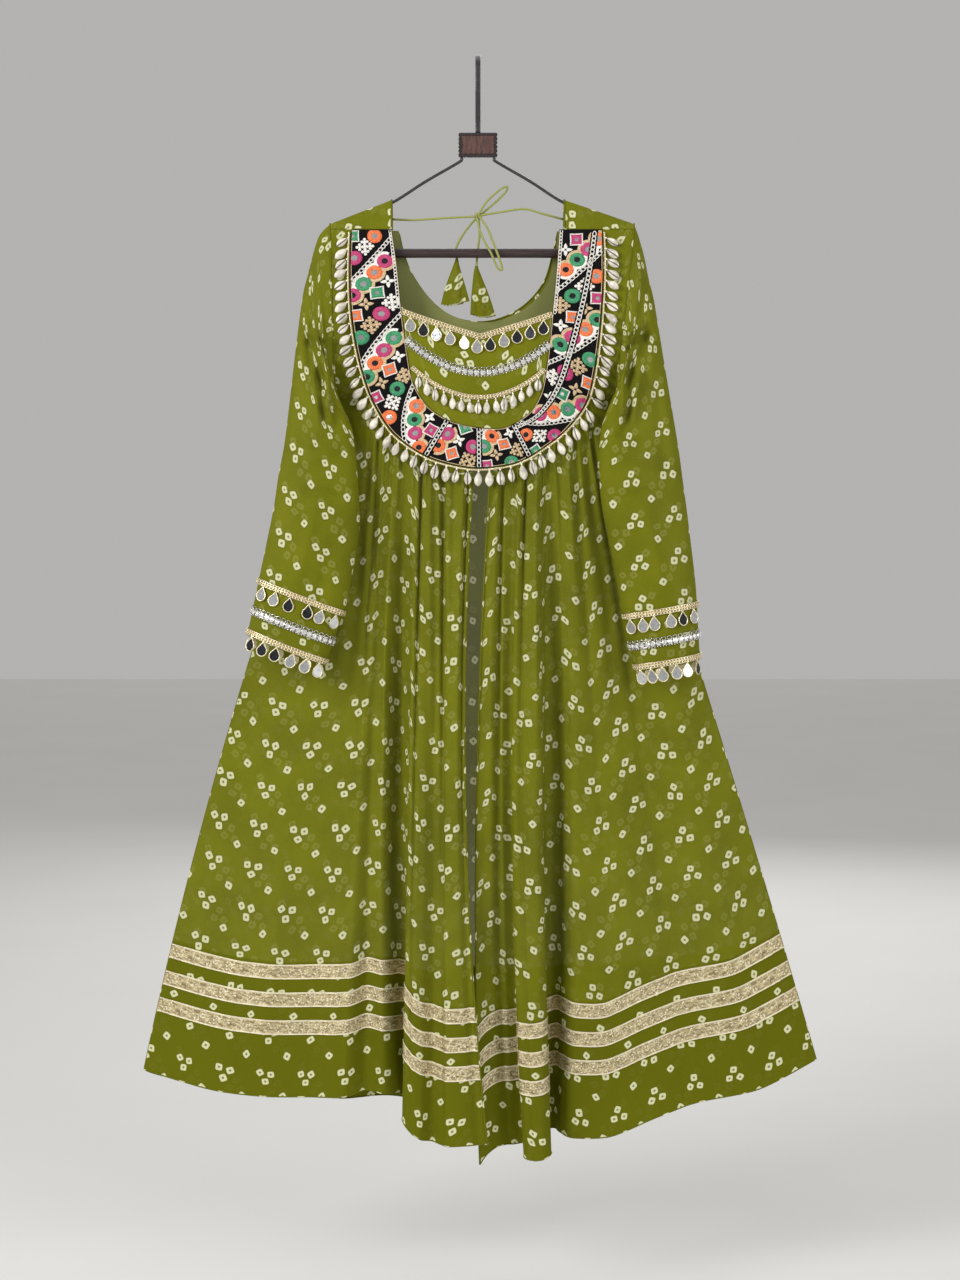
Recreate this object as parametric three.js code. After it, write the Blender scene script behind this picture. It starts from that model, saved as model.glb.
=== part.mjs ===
// Bandhani kurti on a wooden-bar hanger. Millimetres, +Z up, the front faces -Y.
// The origin is the point where the hook bears on its rail.
import * as THREE from 'three';

// ---------------------------------------------------------------- driving dimensions
const CLOTH = 1.2;                 // wall of the georgette with its soft folds
const HALF_CLOTH = CLOTH / 2;
const SEAM_GAP = 0.5;              // clear width between two pieces at a seam
const ARMHOLE_GAP = 0.9;           // the same where a sleeve meets the curved armhole
const SURFACE_GAP = 0.4;           // clear height between a panel and what lies on it

const SHOULDER_SEAM_Z = -217;      // level seam between the shoulder strips and the panels
const UNDERARM_Z = -433;
const BACK_WAIST_Z = -485;         // seam between back bodice and gathered back skirt
const ARMHOLE_TOP_Z = -209.5;
const ARMHOLE_HALF_DEPTH = 26;
const ARMHOLE_MIDDLE_Z = (ARMHOLE_TOP_Z + UNDERARM_Z) / 2;
const ARMHOLE_HALF_HEIGHT = (ARMHOLE_TOP_Z - UNDERARM_Z) / 2;

const SIDES = {
  left: { neckX: -110.5, tipX: -188.5, underarmX: -182, sideMidX: -328, hemX: -440.7, hemZ: -1314 },
  right: { neckX: 110.5, tipX: 199, underarmX: 174.2, sideMidX: 314, hemX: 446, hemZ: -1300 },
};
const NECK_POINT_Z = -179.4;       // top of each shoulder strip at the neck

// Fullness of the bodice: how far the middle of front and back stands off the hanger plane.
const FULLNESS = [
  // z, front, back
  [SHOULDER_SEAM_Z, 12, 12],
  [-300, 23, 18],
  [UNDERARM_Z, 33, 26],
  [-540, 38, 31],
];

// The embroidered U band: one row for each station, left shoulder to right shoulder.
const BAND = [
  // outerX, outerZ, innerX, innerZ
  [-162, -217.5, -110, -217.5],
  [-163.5, -275, -102.5, -270],
  [-161, -330, -97, -325],
  [-152, -383, -91, -370],
  [-136, UNDERARM_Z, -83, -412],
  [-108, -477, -64, -443],
  [-62, -508, -36, -461],
  [-6, -521, -4, -469],
  [50, -514, 34, -470],
  [97, -486, 66, -451],
  [124, -460, 80, -428],
  [141, UNDERARM_Z, 86, -403],
  [151, -385, 91, -365],
  [157, -330, 95, -322],
  [160, -275, 100, -272],
  [159, -217.5, 104, -217.5],
];
const BAND_UNDERARM = { left: 4, right: 11 };   // stations level with the underarm
const BAND_THICKNESS = 2;

// Folds of the two fronts, one row for each crest or valley from the side seam to the free edge.
// place: 0 at the side seam, 1 where the underarm level meets the band, then one for each station.
// Depths are distances in front of the hanger plane.
const FOLDS = {
  left: [
    // place, midX, midDepth, hemX, hemZ, hemDepth
    [0, SIDES.left.sideMidX, 0.6, SIDES.left.hemX, SIDES.left.hemZ, 0.6],
    [0.33, -270, 10, -351, -1336, 18],
    [0.67, -224, 15, -281, -1343, 26],
    [1, -185, 19, -222, -1343, 28],
    [1.5, -152, 26, -177, -1341, 38],
    [1.85, -138, 18, -147, -1335, 24],
    [2.05, -125, 27, -123, -1337, 43],
    [2.2, -118, 30, -105, -1338, 50],
    [2.35, -110, 17, -92, -1340, 27],
    [2.45, -99, 16, -81, -1345, 25],
    [2.55, -90, 34, -87, -1352, 52],
    [2.65, -89, 47, -98, -1359, 75],
    [2.8, -82, 53, -88, -1373, 88],
    [3, -70, 51, -74, -1383, 88],
    [3.2, -56, 43, -59, -1388, 76],
    [3.4, -43, 53, -42, -1391, 91],
    [3.7, -29, 55, -16, -1391, 89],
    [4, -16, 50, 12, -1391, 81],
  ],
  right: [
    [0, SIDES.right.sideMidX, 0.6, SIDES.right.hemX, SIDES.right.hemZ, 0.6],
    [0.4, 270, 11, 369, -1335, 20],
    [1, 222, 16, 288, -1351, 26],
    [1.7, 182, 22, 229, -1371, 34],
    [2.3, 150, 26, 174, -1392, 42],
    [2.7, 128, 31, 124, -1391, 52],
    [2.95, 114, 31, 107, -1386, 52],
    [3.1, 106, 21, 101, -1386, 35],
    [3.2, 97, 17, 92, -1390, 27],
    [3.27, 88, 21, 84, -1393, 34],
    [3.33, 84, 34, 85, -1397, 54],
    [3.4, 83, 48, 95, -1403, 77],
    [3.55, 74, 57, 86, -1408, 90],
    [3.75, 56, 57, 70, -1410, 91],
    [3.9, 44, 49, 59, -1408, 79],
    [4, 49, 34, 65, -1402, 57],
    [4.1, 43, 26, 60, -1400, 43],
    [4.25, 32, 29, 47, -1401, 45],
    [4.4, 19, 34, 26, -1402, 54],
    [4.5, 8, 34, 12, -1410, 61],
    [4.6, -2, 35, 2.6, -1422, 67],
  ],
};
const FOLD_PARTS = 2;              // columns made between two rows of the fold table
const SKIRT_ROWS = 10;
const BODICE_ROWS = 6;

// The back skirt: equal gathers from side seam to side seam.
const BACK = { columns: 28, folds: 7, foldHem: 13, foldMid: 8, midDepth: 44, hemDepth: 66, hemDrop: 62 };

// Back neckline and the points of the front V.
const BACK_NECK = [
  // x, z
  [-102, SHOULDER_SEAM_Z], [-97, -240], [-86, -270], [-62, -303], [-33, -325], [0, -333],
  [34, -329], [67, -311], [90, -282], [99, -245], [103, SHOULDER_SEAM_Z],
];
const FACING_WIDTH = 46;
const FRONT_NECK = { startStation: 1.85, lowX: 2.6, lowZ: -351, endStation: 13 };

// Sleeves, one row for each ring from the armhole to the cuff. outer and inner are the two edges
// of the flattened tube, with their distance in front of the hanger plane.
const SLEEVES = {
  left: [
    // outerX, outerZ, outerForward, innerX, innerZ, innerForward, halfDepth
    [-203, -224, 0, -187.5, -436, 5, 26],
    [-211, -246, 0, -184, -440, 16, 25],
    [-218, -274, 2, -181, -444, 27, 20],
    [-225, -304, 9, -171, -451, 32, 20],
    [-235, -381, 14, -160, -474, 36, 22],
    [-247, -485, 28, -153, -537, 45, 22],
    [-255, -530, 35, -151, -576, 48, 22],
    [-262, -576, 40, -153, -615, 50, 22],
    [-281, -667, 47, -168, -693, 53, 22],
    [-288, -700, 49, -182, -733, 54, 22],
    [-295, -733, 50, -195, -772, 55, 22],
  ],
  right: [
    [206, -226, 0, 180, -436, 5, 26],
    [213, -250, 0, 177, -440, 16, 25],
    [219, -279, 2, 173, -444, 27, 20],
    [226, -310, 9, 164, -451, 32, 20],
    [239, -387, 12, 156, -480, 35, 22],
    [256, -491, 27, 155, -537, 44, 21],
    [262, -536, 33, 158, -570, 48, 22],
    [268, -582, 40, 164, -602, 51, 22],
    [278, -667, 48, 180, -680, 55, 25],
    [281, -715, 51, 190, -728, 57, 27],
    [284, -764, 53, 201, -778, 59, 28],
  ],
};
const SLEEVE_POINTS = 16;          // points round each ring
const CUFF = { laceAbove: 66, chainAbove: 26, hemLaceAbove: 0.5 };   // lower edges above the cuff's edge

// Gota strips: height of each strip's lower edge above the hem, along the cloth.
const GOTA = { lowerEdges: [157, 120, 83], width: 19, thickness: 0.8 };

// Trims with hanging pieces: profile rows run down a hanging piece from its root.
const COWRIE = [
  // drop, halfWidth, halfDepth
  [3, 1.5, 1.2], [9.5, 4.6, 3.2],
];
const COWRIE_LENGTH = 19;
const MIRROR_DROP = [[2.5, 1.8, 1], [11.5, 6.5, 1.6]];
const MIRROR_DROP_LENGTH = 18.5;
const LACE = { height: 8, depth: 1.6 };
const CHAIN = { height: 12, depth: 2.4 };
const COWRIE_LACE = { height: 7, depth: 1.6 };
const FRINGE_CORD = { height: 3, depth: 2 };
const FRINGE_COUNT = 57;
const TRIM_RISE = 0.4;             // thread under the straight trims of the yoke, over its curve

// Hanger.
const HOOK = { width: 6.6, thickness: 3, innerRadius: 18, stemKinkZ: -62, tipZ: -34 };
const BLOCK = { width: 50, depth: 14, height: 30.5, topZ: -95 };
const WIRE_RADIUS = 2;
const BAR = { radius: 6, z: -247, leftX: -199, rightX: 202 };

const CORD_RADIUS = 1.5;
const CORD_SIDES = 8;
const KNOT = new THREE.Vector3(0, 10, -199);

// ---------------------------------------------------------------- materials
const finish = (color, roughness, metalness = 0) =>
  new THREE.MeshStandardMaterial({ color, roughness, metalness, side: THREE.DoubleSide });
const GEORGETTE = finish('#75762a', 0.8);
const FACING_CLOTH = finish('#87855e', 0.85);
const EMBROIDERY = finish('#2c2226', 0.85);
const GOTA_FOIL = finish('#b8a67c', 0.4, 0.6);
const SILVER = finish('#c9c9c9', 0.3, 0.9);
const SHELL = finish('#d9cfb8', 0.35);
const MIRROR_AND_GOLD = finish('#c8b98a', 0.25, 0.7);
const BLACK_METAL = finish('#373536', 0.45, 0.6);
const BLOCK_WOOD = finish('#5f423c', 0.55);
const BAR_WOOD = finish('#251718', 0.5);
const CORD_CLOTH = finish('#8f9250', 0.8);

// ---------------------------------------------------------------- small helpers
const { lerp, clamp } = THREE.MathUtils;

// Reads column `column` of a table whose first column falls with each row.
function readTable(table, key, column) {
  let row = 0;
  while (row < table.length - 2 && key < table[row + 1][0]) row += 1;
  const [above, below] = [table[row], table[row + 1]];
  return lerp(above[column], below[column], clamp((above[0] - key) / (above[0] - below[0]), 0, 1));
}

// Smooth curve through the rows of a table, at a place given in rows.
function tableAt(table, place) {
  const row = clamp(Math.floor(place), 0, table.length - 2);
  const f = place - row;
  const rows = [-1, 0, 1, 2].map((step) => table[clamp(row + step, 0, table.length - 1)]);
  return rows[1].map((_, column) => {
    const [before, from, to, after] = rows.map((values) => values[column]);
    const leave = (to - before) * 0.42;
    const arrive = (after - from) * 0.42;
    return from + leave * f + (3 * (to - from) - 2 * leave - arrive) * f * f
      + (2 * (from - to) + leave + arrive) * f * f * f;
  });
}

// Curve through a start, a middle and an end value.
const throughThree = (start, middle, end, t) =>
  start + (4 * middle - 3 * start - end) * t + (2 * start + 2 * end - 4 * middle) * t * t;

function meshNamed(name, material, points, faces) {
  const positions = new Float32Array(points.length * 3);
  points.forEach((point, index) => point.toArray(positions, index * 3));
  let volume = 0;
  for (const [a, b, c] of faces) {
    volume += points[a].dot(new THREE.Vector3().crossVectors(points[b], points[c])) / 6;
  }
  const outward = volume > 0 ? faces : faces.map(([a, b, c]) => [a, c, b]);
  const geometry = new THREE.BufferGeometry();
  geometry.setAttribute('position', new THREE.BufferAttribute(positions, 3));
  geometry.setIndex(outward.flat());
  geometry.computeVertexNormals();
  const mesh = new THREE.Mesh(geometry, material);
  mesh.name = name;
  return mesh;
}

// Faces of a grid of point numbers; corners that repeat a point give one triangle.
function gridFaces(rows, closed = false) {
  const faces = [];
  for (let row = 0; row < rows.length - 1; row += 1) {
    const count = rows[row].length;
    for (let column = 0; column < count - (closed ? 0 : 1); column += 1) {
      const next = (column + 1) % count;
      const [a, b, c, d] = [rows[row][column], rows[row][next], rows[row + 1][next], rows[row + 1][column]];
      faces.push([a, b, c], [a, c, d]);
    }
  }
  return faces.filter(([a, b, c]) => a !== b && b !== c && c !== a);
}

function pointNormals(points, faces) {
  const normals = points.map(() => new THREE.Vector3());
  for (const [a, b, c] of faces) {
    const edge = points[b].clone().sub(points[a]);
    const normal = edge.cross(points[c].clone().sub(points[a]));
    [a, b, c].forEach((corner) => normals[corner].add(normal));
  }
  return normals.map((normal) => normal.normalize());
}

// Closed wall of even thickness round a middle surface, with straight-cut edges.
function wall(name, material, points, faces, thickness = CLOTH) {
  const normals = pointNormals(points, faces);
  const shifted = (side) => points.map((point, i) =>
    point.clone().addScaledVector(normals[i], side * thickness / 2));
  const count = points.length;
  const solid = [...faces, ...faces.map(([a, b, c]) => [a + count, c + count, b + count])];
  const edges = new Set(faces.flatMap(([a, b, c]) => [`${a} ${b}`, `${b} ${c}`, `${c} ${a}`]));
  for (const edge of edges) {
    const [a, b] = edge.split(' ').map(Number);
    if (!edges.has(`${b} ${a}`)) solid.push([b, a, a + count], [b, a + count, b + count]);
  }
  return meshNamed(name, material, [...shifted(1), ...shifted(-1)], solid);
}

// Wall over a rectangular grid of points, given as rows.
function gridWall(name, material, rows, thickness = CLOTH, closed = false) {
  const width = rows[0].length;
  const numbers = rows.map((row, r) => row.map((_, c) => r * width + c));
  return wall(name, material, rows.flat(), gridFaces(numbers, closed), thickness);
}

// Grid of the same surface moved out along its normals.
function movedOut(rows, distance, closed = false) {
  const width = rows[0].length;
  const numbers = rows.map((row, r) => row.map((_, c) => r * width + c));
  const points = rows.flat();
  const normals = pointNormals(points, gridFaces(numbers, closed));
  return numbers.map((row) => row.map((i) => points[i].clone().addScaledVector(normals[i], distance)));
}

// Solid through rings of points with flat ends.
function loft(name, material, rings) {
  const sides = rings[0].length;
  const numbers = rings.map((ring, r) => ring.map((_, c) => r * sides + c));
  const faces = gridFaces(numbers, true);
  const last = numbers.length - 1;
  for (let c = 1; c < sides - 1; c += 1) {
    faces.push([numbers[0][0], numbers[0][c + 1], numbers[0][c]]);
    faces.push([numbers[last][0], numbers[last][c], numbers[last][c + 1]]);
  }
  return meshNamed(name, material, rings.flat(), faces);
}

// Round rod or cord through hand-chosen points.
function rod(name, material, route, radius, steps, sides = CORD_SIDES) {
  const curve = new THREE.CatmullRomCurve3(route, false, 'centripetal');
  const frames = curve.computeFrenetFrames(steps);
  const rings = [];
  for (let step = 0; step <= steps; step += 1) {
    const centre = curve.getPointAt(step / steps);
    rings.push(Array.from({ length: sides }, (_, side) => {
      const angle = (side / sides) * 2 * Math.PI;
      return centre.clone()
        .addScaledVector(frames.normals[step], Math.cos(angle) * radius)
        .addScaledVector(frames.binormals[step], Math.sin(angle) * radius);
    }));
  }
  return loft(name, material, rings);
}

const points3 = (rows) => rows.map(([x, y, z]) => new THREE.Vector3(x, y, z));

// ---------------------------------------------------------------- shape of the body
function armholeX(side, z) {
  const { tipX, underarmX } = SIDES[side];
  return lerp(tipX, underarmX, (ARMHOLE_TOP_Z - z) / (2 * ARMHOLE_HALF_HEIGHT));
}

function sideSeamX(side, z) {
  const { underarmX, sideMidX, hemX, hemZ } = SIDES[side];
  return throughThree(underarmX, sideMidX, hemX, (UNDERARM_Z - z) / (UNDERARM_Z - hemZ));
}

const bodyEdgeX = (side, z) => (z > UNDERARM_Z ? armholeX(side, z) : sideSeamX(side, z));

function armholeDepth(z) {
  const height = (z - ARMHOLE_MIDDLE_Z) / ARMHOLE_HALF_HEIGHT;
  return Math.max(HALF_CLOTH, ARMHOLE_HALF_DEPTH * Math.sqrt(Math.max(0, 1 - height * height)));
}

// Distance of front (column 1) or back (column 2) cloth from the hanger plane, above the gathers.
function bodiceDepth(x, z, column) {
  const [leftX, rightX] = [bodyEdgeX('left', z), bodyEdgeX('right', z)];
  const across = clamp(Math.abs((2 * x - leftX - rightX) / (rightX - leftX)), 0, 1);
  const edge = armholeDepth(z);
  const middle = readTable(FULLNESS, z, column);
  return edge + (middle - edge) * (1 - across ** 2.5);
}

const onFront = (x, z, out = 0) => new THREE.Vector3(x, -bodiceDepth(x, z, 1) - out, z);
const onBack = (x, z, out = 0) => new THREE.Vector3(x, bodiceDepth(x, z, 2) + out, z);

const bandStation = (side, place) =>
  (side === 'left' ? BAND_UNDERARM.left - 1 + place : BAND_UNDERARM.right + 1 - place);

// ---------------------------------------------------------------- fronts
// Columns of a front from its side seam to its free edge; each column is a line down the cloth.
function frontColumns(side) {
  const columns = [];
  const folds = FOLDS[side];
  for (let i = 0; i <= (folds.length - 1) * FOLD_PARTS; i += 1) {
    const [place, midX, midDepth, hemX, hemZ, hemDepth] = tableAt(folds, i / FOLD_PARTS);
    let topX = lerp(bodyEdgeX(side, UNDERARM_Z), BAND[BAND_UNDERARM[side]][0], place);
    let topZ = UNDERARM_Z;
    if (place > 1) [topX, topZ] = tableAt(BAND, bandStation(side, place));
    columns.push({ place, topX, topZ, topDepth: bodiceDepth(topX, topZ, 1), midX, midDepth, hemX, hemZ, hemDepth });
  }
  return columns;
}

const frontPoint = (column, t) => new THREE.Vector3(
  throughThree(column.topX, column.midX, column.hemX, t),
  -throughThree(column.topDepth, column.midDepth, column.hemDepth, t),
  lerp(column.topZ, column.hemZ, t),
);

function frontPanel(side) {
  const columns = frontColumns(side);
  const bodiceColumns = columns.filter(({ place }) => place < 1.001).length;
  const points = [];
  const add = (point) => points.push(point) - 1;
  const bodice = [];
  for (let row = 0; row < BODICE_ROWS; row += 1) {
    const station = bandStation(side, 1 - 4 * (1 - row / BODICE_ROWS));
    const [bandX, stationZ] = tableAt(BAND, station);
    const z = row === 0 ? SHOULDER_SEAM_Z - SEAM_GAP : stationZ;
    bodice.push(columns.slice(0, bodiceColumns).map(({ place }) =>
      add(onFront(lerp(bodyEdgeX(side, z), bandX, place), z))));
  }
  const skirt = [];
  for (let row = 0; row <= SKIRT_ROWS; row += 1) {
    skirt.push(columns.map((column) => add(frontPoint(column, row / SKIRT_ROWS))));
  }
  bodice.push(skirt[0].slice(0, bodiceColumns));
  const faces = [...gridFaces(bodice), ...gridFaces(skirt)];
  return wall(`front_${side}`, GEORGETTE, points, faces);
}

// ---------------------------------------------------------------- back
const backNeckZ = (x) => {
  const last = BACK_NECK.length - 1;
  if (x <= BACK_NECK[0][0] || x >= BACK_NECK[last][0]) return SHOULDER_SEAM_Z;
  let i = 0;
  while (x > BACK_NECK[i + 1][0]) i += 1;
  const [[x0, z0], [x1, z1]] = [BACK_NECK[i], BACK_NECK[i + 1]];
  return lerp(z0, z1, (x - x0) / (x1 - x0));
};

function backBodice() {
  const shoulderPlaces = [0, 0.34, 0.67];
  const tops = [
    ...shoulderPlaces.map((f) => lerp(armholeX('left', SHOULDER_SEAM_Z), BACK_NECK[0][0], f)),
    ...BACK_NECK.map(([x]) => x),
    ...shoulderPlaces.map((f) => lerp(armholeX('right', SHOULDER_SEAM_Z), BACK_NECK.at(-1)[0], f)).reverse(),
  ];
  const armholeRows = 6;
  const rowCount = armholeRows + 2;
  const topLeft = armholeX('left', SHOULDER_SEAM_Z);
  const topRight = armholeX('right', SHOULDER_SEAM_Z);
  const rows = [];
  for (let row = 0; row <= rowCount; row += 1) {
    rows.push(tops.map((topX) => {
      const across = (topX - topLeft) / (topRight - topLeft);
      const z = row < armholeRows
        ? lerp(backNeckZ(topX) - SEAM_GAP, UNDERARM_Z, row / armholeRows)
        : lerp(UNDERARM_Z, BACK_WAIST_Z + SEAM_GAP, (row - armholeRows) / 2);
      return onBack(lerp(bodyEdgeX('left', z), bodyEdgeX('right', z), across), z);
    }));
  }
  return gridWall('back_bodice', GEORGETTE, rows);
}

// Facing inside the back neckline, a strip of even width below the edge.
function backFacing() {
  const inset = -(CLOTH + 1);
  const upper = BACK_NECK.map(([x, z]) => [x, z - 1]);
  upper[0][1] -= SEAM_GAP;
  upper[upper.length - 1][1] -= SEAM_GAP;
  const rows = [0, 0.5, 1].map((f) => upper.map(([x, z], i) => {
    const [before, after] = [upper[Math.max(0, i - 1)], upper[Math.min(upper.length - 1, i + 1)]];
    const [dx, dz] = [after[0] - before[0], after[1] - before[1]];
    const length = Math.hypot(dx, dz);
    const width = FACING_WIDTH * f;
    const end = i === 0 || i === upper.length - 1;
    const faceX = end ? x + Math.sign(x) * width * 0.8 : x + (dz / length) * width;
    const faceZ = end ? z : z - (dx / length) * width;
    return onBack(faceX, faceZ, inset);
  }));
  return gridWall('back_neck_facing', FACING_CLOTH, rows);
}

const BACK_ROWS = 9;

function backColumn(across) {
  const gather = across ** 2 * (3 - 2 * across);
  const topAcross = lerp(across, gather, 0.25);
  const u = 2 * across - 1;
  const swell = (1 - Math.abs(u) ** 2.4) ** 0.8;
  const wave = Math.cos(2 * Math.PI * BACK.folds * across + Math.PI) * Math.sqrt(swell);
  return { across, topAcross, swell, wave };
}

function backPoint({ across, topAcross, swell, wave }, t) {
  const hemZ = lerp(SIDES.left.hemZ, SIDES.right.hemZ, across) - BACK.hemDrop * swell;
  const z = lerp(BACK_WAIST_Z, hemZ, t);
  const place = lerp(topAcross, across, Math.min(1, t * 3));
  const x = lerp(sideSeamX('left', z), sideSeamX('right', z), place);
  const top = bodiceDepth(x, BACK_WAIST_Z, 2);
  const start = HALF_CLOTH + (top - HALF_CLOTH) * (1 - Math.abs(2 * place - 1) ** 2.5) ** 0.8;
  const atWaist = bodiceDepth(lerp(sideSeamX('left', BACK_WAIST_Z), sideSeamX('right', BACK_WAIST_Z), topAcross),
    BACK_WAIST_Z, 2);
  const middle = HALF_CLOTH + BACK.midDepth * swell + BACK.foldMid * wave * swell;
  const hem = HALF_CLOTH + BACK.hemDepth * swell + BACK.foldHem * wave * swell;
  return new THREE.Vector3(x, throughThree(Math.min(atWaist, start + atWaist), middle, hem, t), z);
}

const backColumns = Array.from({ length: BACK.columns + 1 }, (_, i) => backColumn(i / BACK.columns));

function backSkirt() {
  const rows = [];
  for (let row = 0; row <= BACK_ROWS; row += 1) {
    rows.push(backColumns.map((column) => backPoint(column, row / BACK_ROWS)));
  }
  return gridWall('back_skirt', GEORGETTE, rows);
}

// ---------------------------------------------------------------- shoulders, yoke, band
function shoulderStrip(side) {
  const { neckX } = SIDES[side];
  const seamZ = SHOULDER_SEAM_Z + 0.1;
  const arch = 8;
  const rows = [0, 0.25, 0.5, 0.75, 1].map((f) => {
    const height = lerp(NECK_POINT_Z, ARMHOLE_TOP_Z, f) - seamZ;
    return Array.from({ length: arch + 1 }, (_, i) => {
      const angle = (i / arch) * Math.PI;
      const z = seamZ + Math.sin(angle) * height;
      const x = lerp(neckX, armholeX(side, z), f);
      const reach = bodiceDepth(x, seamZ, Math.cos(angle) > 0 ? 1 : 2);
      return new THREE.Vector3(x, -Math.cos(angle) * reach, z);
    });
  });
  return gridWall(`shoulder_${side}`, GEORGETTE, rows);
}

const bandEdges = (station) => {
  const [outerX, outerZ, innerX, innerZ] = tableAt(BAND, station);
  const inset = SEAM_GAP / Math.hypot(innerX - outerX, innerZ - outerZ);
  return {
    outer: [lerp(outerX, innerX, inset), lerp(outerZ, innerZ, inset)],
    inner: [innerX, innerZ],
    edge: [outerX, outerZ],
  };
};

function embroideredBand() {
  const steps = (BAND.length - 1) * 2;
  const rows = Array.from({ length: steps + 1 }, (_, i) => {
    const { outer, inner } = bandEdges(i / 2);
    return [0, 0.5, 1].map((f) =>
      onFront(lerp(outer[0], inner[0], f), lerp(outer[1], inner[1], f), (BAND_THICKNESS - CLOTH) / 2));
  });
  return gridWall('embroidered_band', EMBROIDERY, rows, BAND_THICKNESS);
}

// Lower edge of the V, from the band on the left over its lowest point to the band on the right.
function frontNeckZ(x) {
  const [leftX, leftZ] = bandEdges(FRONT_NECK.startStation).inner;
  const [rightX, rightZ] = bandEdges(FRONT_NECK.endStation).inner;
  const { lowX, lowZ } = FRONT_NECK;
  if (x < lowX) return lerp(leftZ, lowZ, ((x - leftX) / (lowX - leftX)) ** 0.9);
  return lerp(rightZ, lowZ, ((rightX - x) / (rightX - lowX)) ** 0.9);
}

function yokeRows(rowCount) {
  const columns = 20;
  const rows = Array.from({ length: rowCount + 1 }, () => []);
  for (let i = 0; i <= columns; i += 1) {
    const station = lerp(FRONT_NECK.startStation, FRONT_NECK.endStation, i / columns);
    const { outer, inner } = bandEdges(station);
    const away = SEAM_GAP / Math.hypot(outer[0] - inner[0], outer[1] - inner[1]);
    const x = lerp(inner[0], outer[0], -away);
    const z = lerp(inner[1], outer[1], -away);
    const topX = lerp(x, lerp(-90, 88, i / columns), 0.35);
    const top = [i === 0 || i === columns ? x : topX, 0];
    top[1] = Math.max(frontNeckZ(top[0]), z + 1);
    for (let row = 0; row <= rowCount; row += 1) {
      rows[row].push(onFront(lerp(top[0], x, row / rowCount), lerp(top[1], z, row / rowCount)));
    }
  }
  return rows;
}

const frontYoke = () => gridWall('front_yoke', GEORGETTE, yokeRows(5));

// ---------------------------------------------------------------- sleeves
function sleeveRing([outerX, outerZ, outerForward, innerX, innerZ, innerForward, halfDepth]) {
  return Array.from({ length: SLEEVE_POINTS }, (_, i) => {
    const angle = (i / SLEEVE_POINTS) * 2 * Math.PI;
    const f = (1 - Math.cos(angle)) / 2;
    const forward = lerp(outerForward, innerForward, f);
    return new THREE.Vector3(lerp(outerX, innerX, f), -forward - Math.sin(angle) * halfDepth,
      lerp(outerZ, innerZ, f));
  });
}

function sleeveRings(side) {
  const outward = side === 'left' ? -1 : 1;
  const { tipX, underarmX } = SIDES[side];
  const armhole = [tipX + outward * ARMHOLE_GAP, ARMHOLE_TOP_Z, 0,
    underarmX + outward * ARMHOLE_GAP, UNDERARM_Z, 0, ARMHOLE_HALF_DEPTH];
  return [armhole, ...SLEEVES[side]].map(sleeveRing);
}

const sleeve = (side) => gridWall(`sleeve_${side}`, GEORGETTE, sleeveRings(side), CLOTH, true);

// Ring lying on the sleeve, at a distance above the cuff's edge measured along the sleeve.
function cuffRing(side, above, out) {
  const rings = sleeveRings(side).slice(-4);
  const handed = side === 'left' ? -1 : 1;
  const outside = movedOut(rings, handed * (HALF_CLOTH + out), true);
  const lines = outside[0].map((_, i) => outside.map((ring) => ring[i]).reverse());
  return lines.map((line) => {
    let left = above;
    let i = 0;
    while (i < line.length - 2 && left > line[i].distanceTo(line[i + 1])) {
      left -= line[i].distanceTo(line[i + 1]);
      i += 1;
    }
    return line[i].clone().lerp(line[i + 1], left / line[i].distanceTo(line[i + 1]));
  });
}

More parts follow.
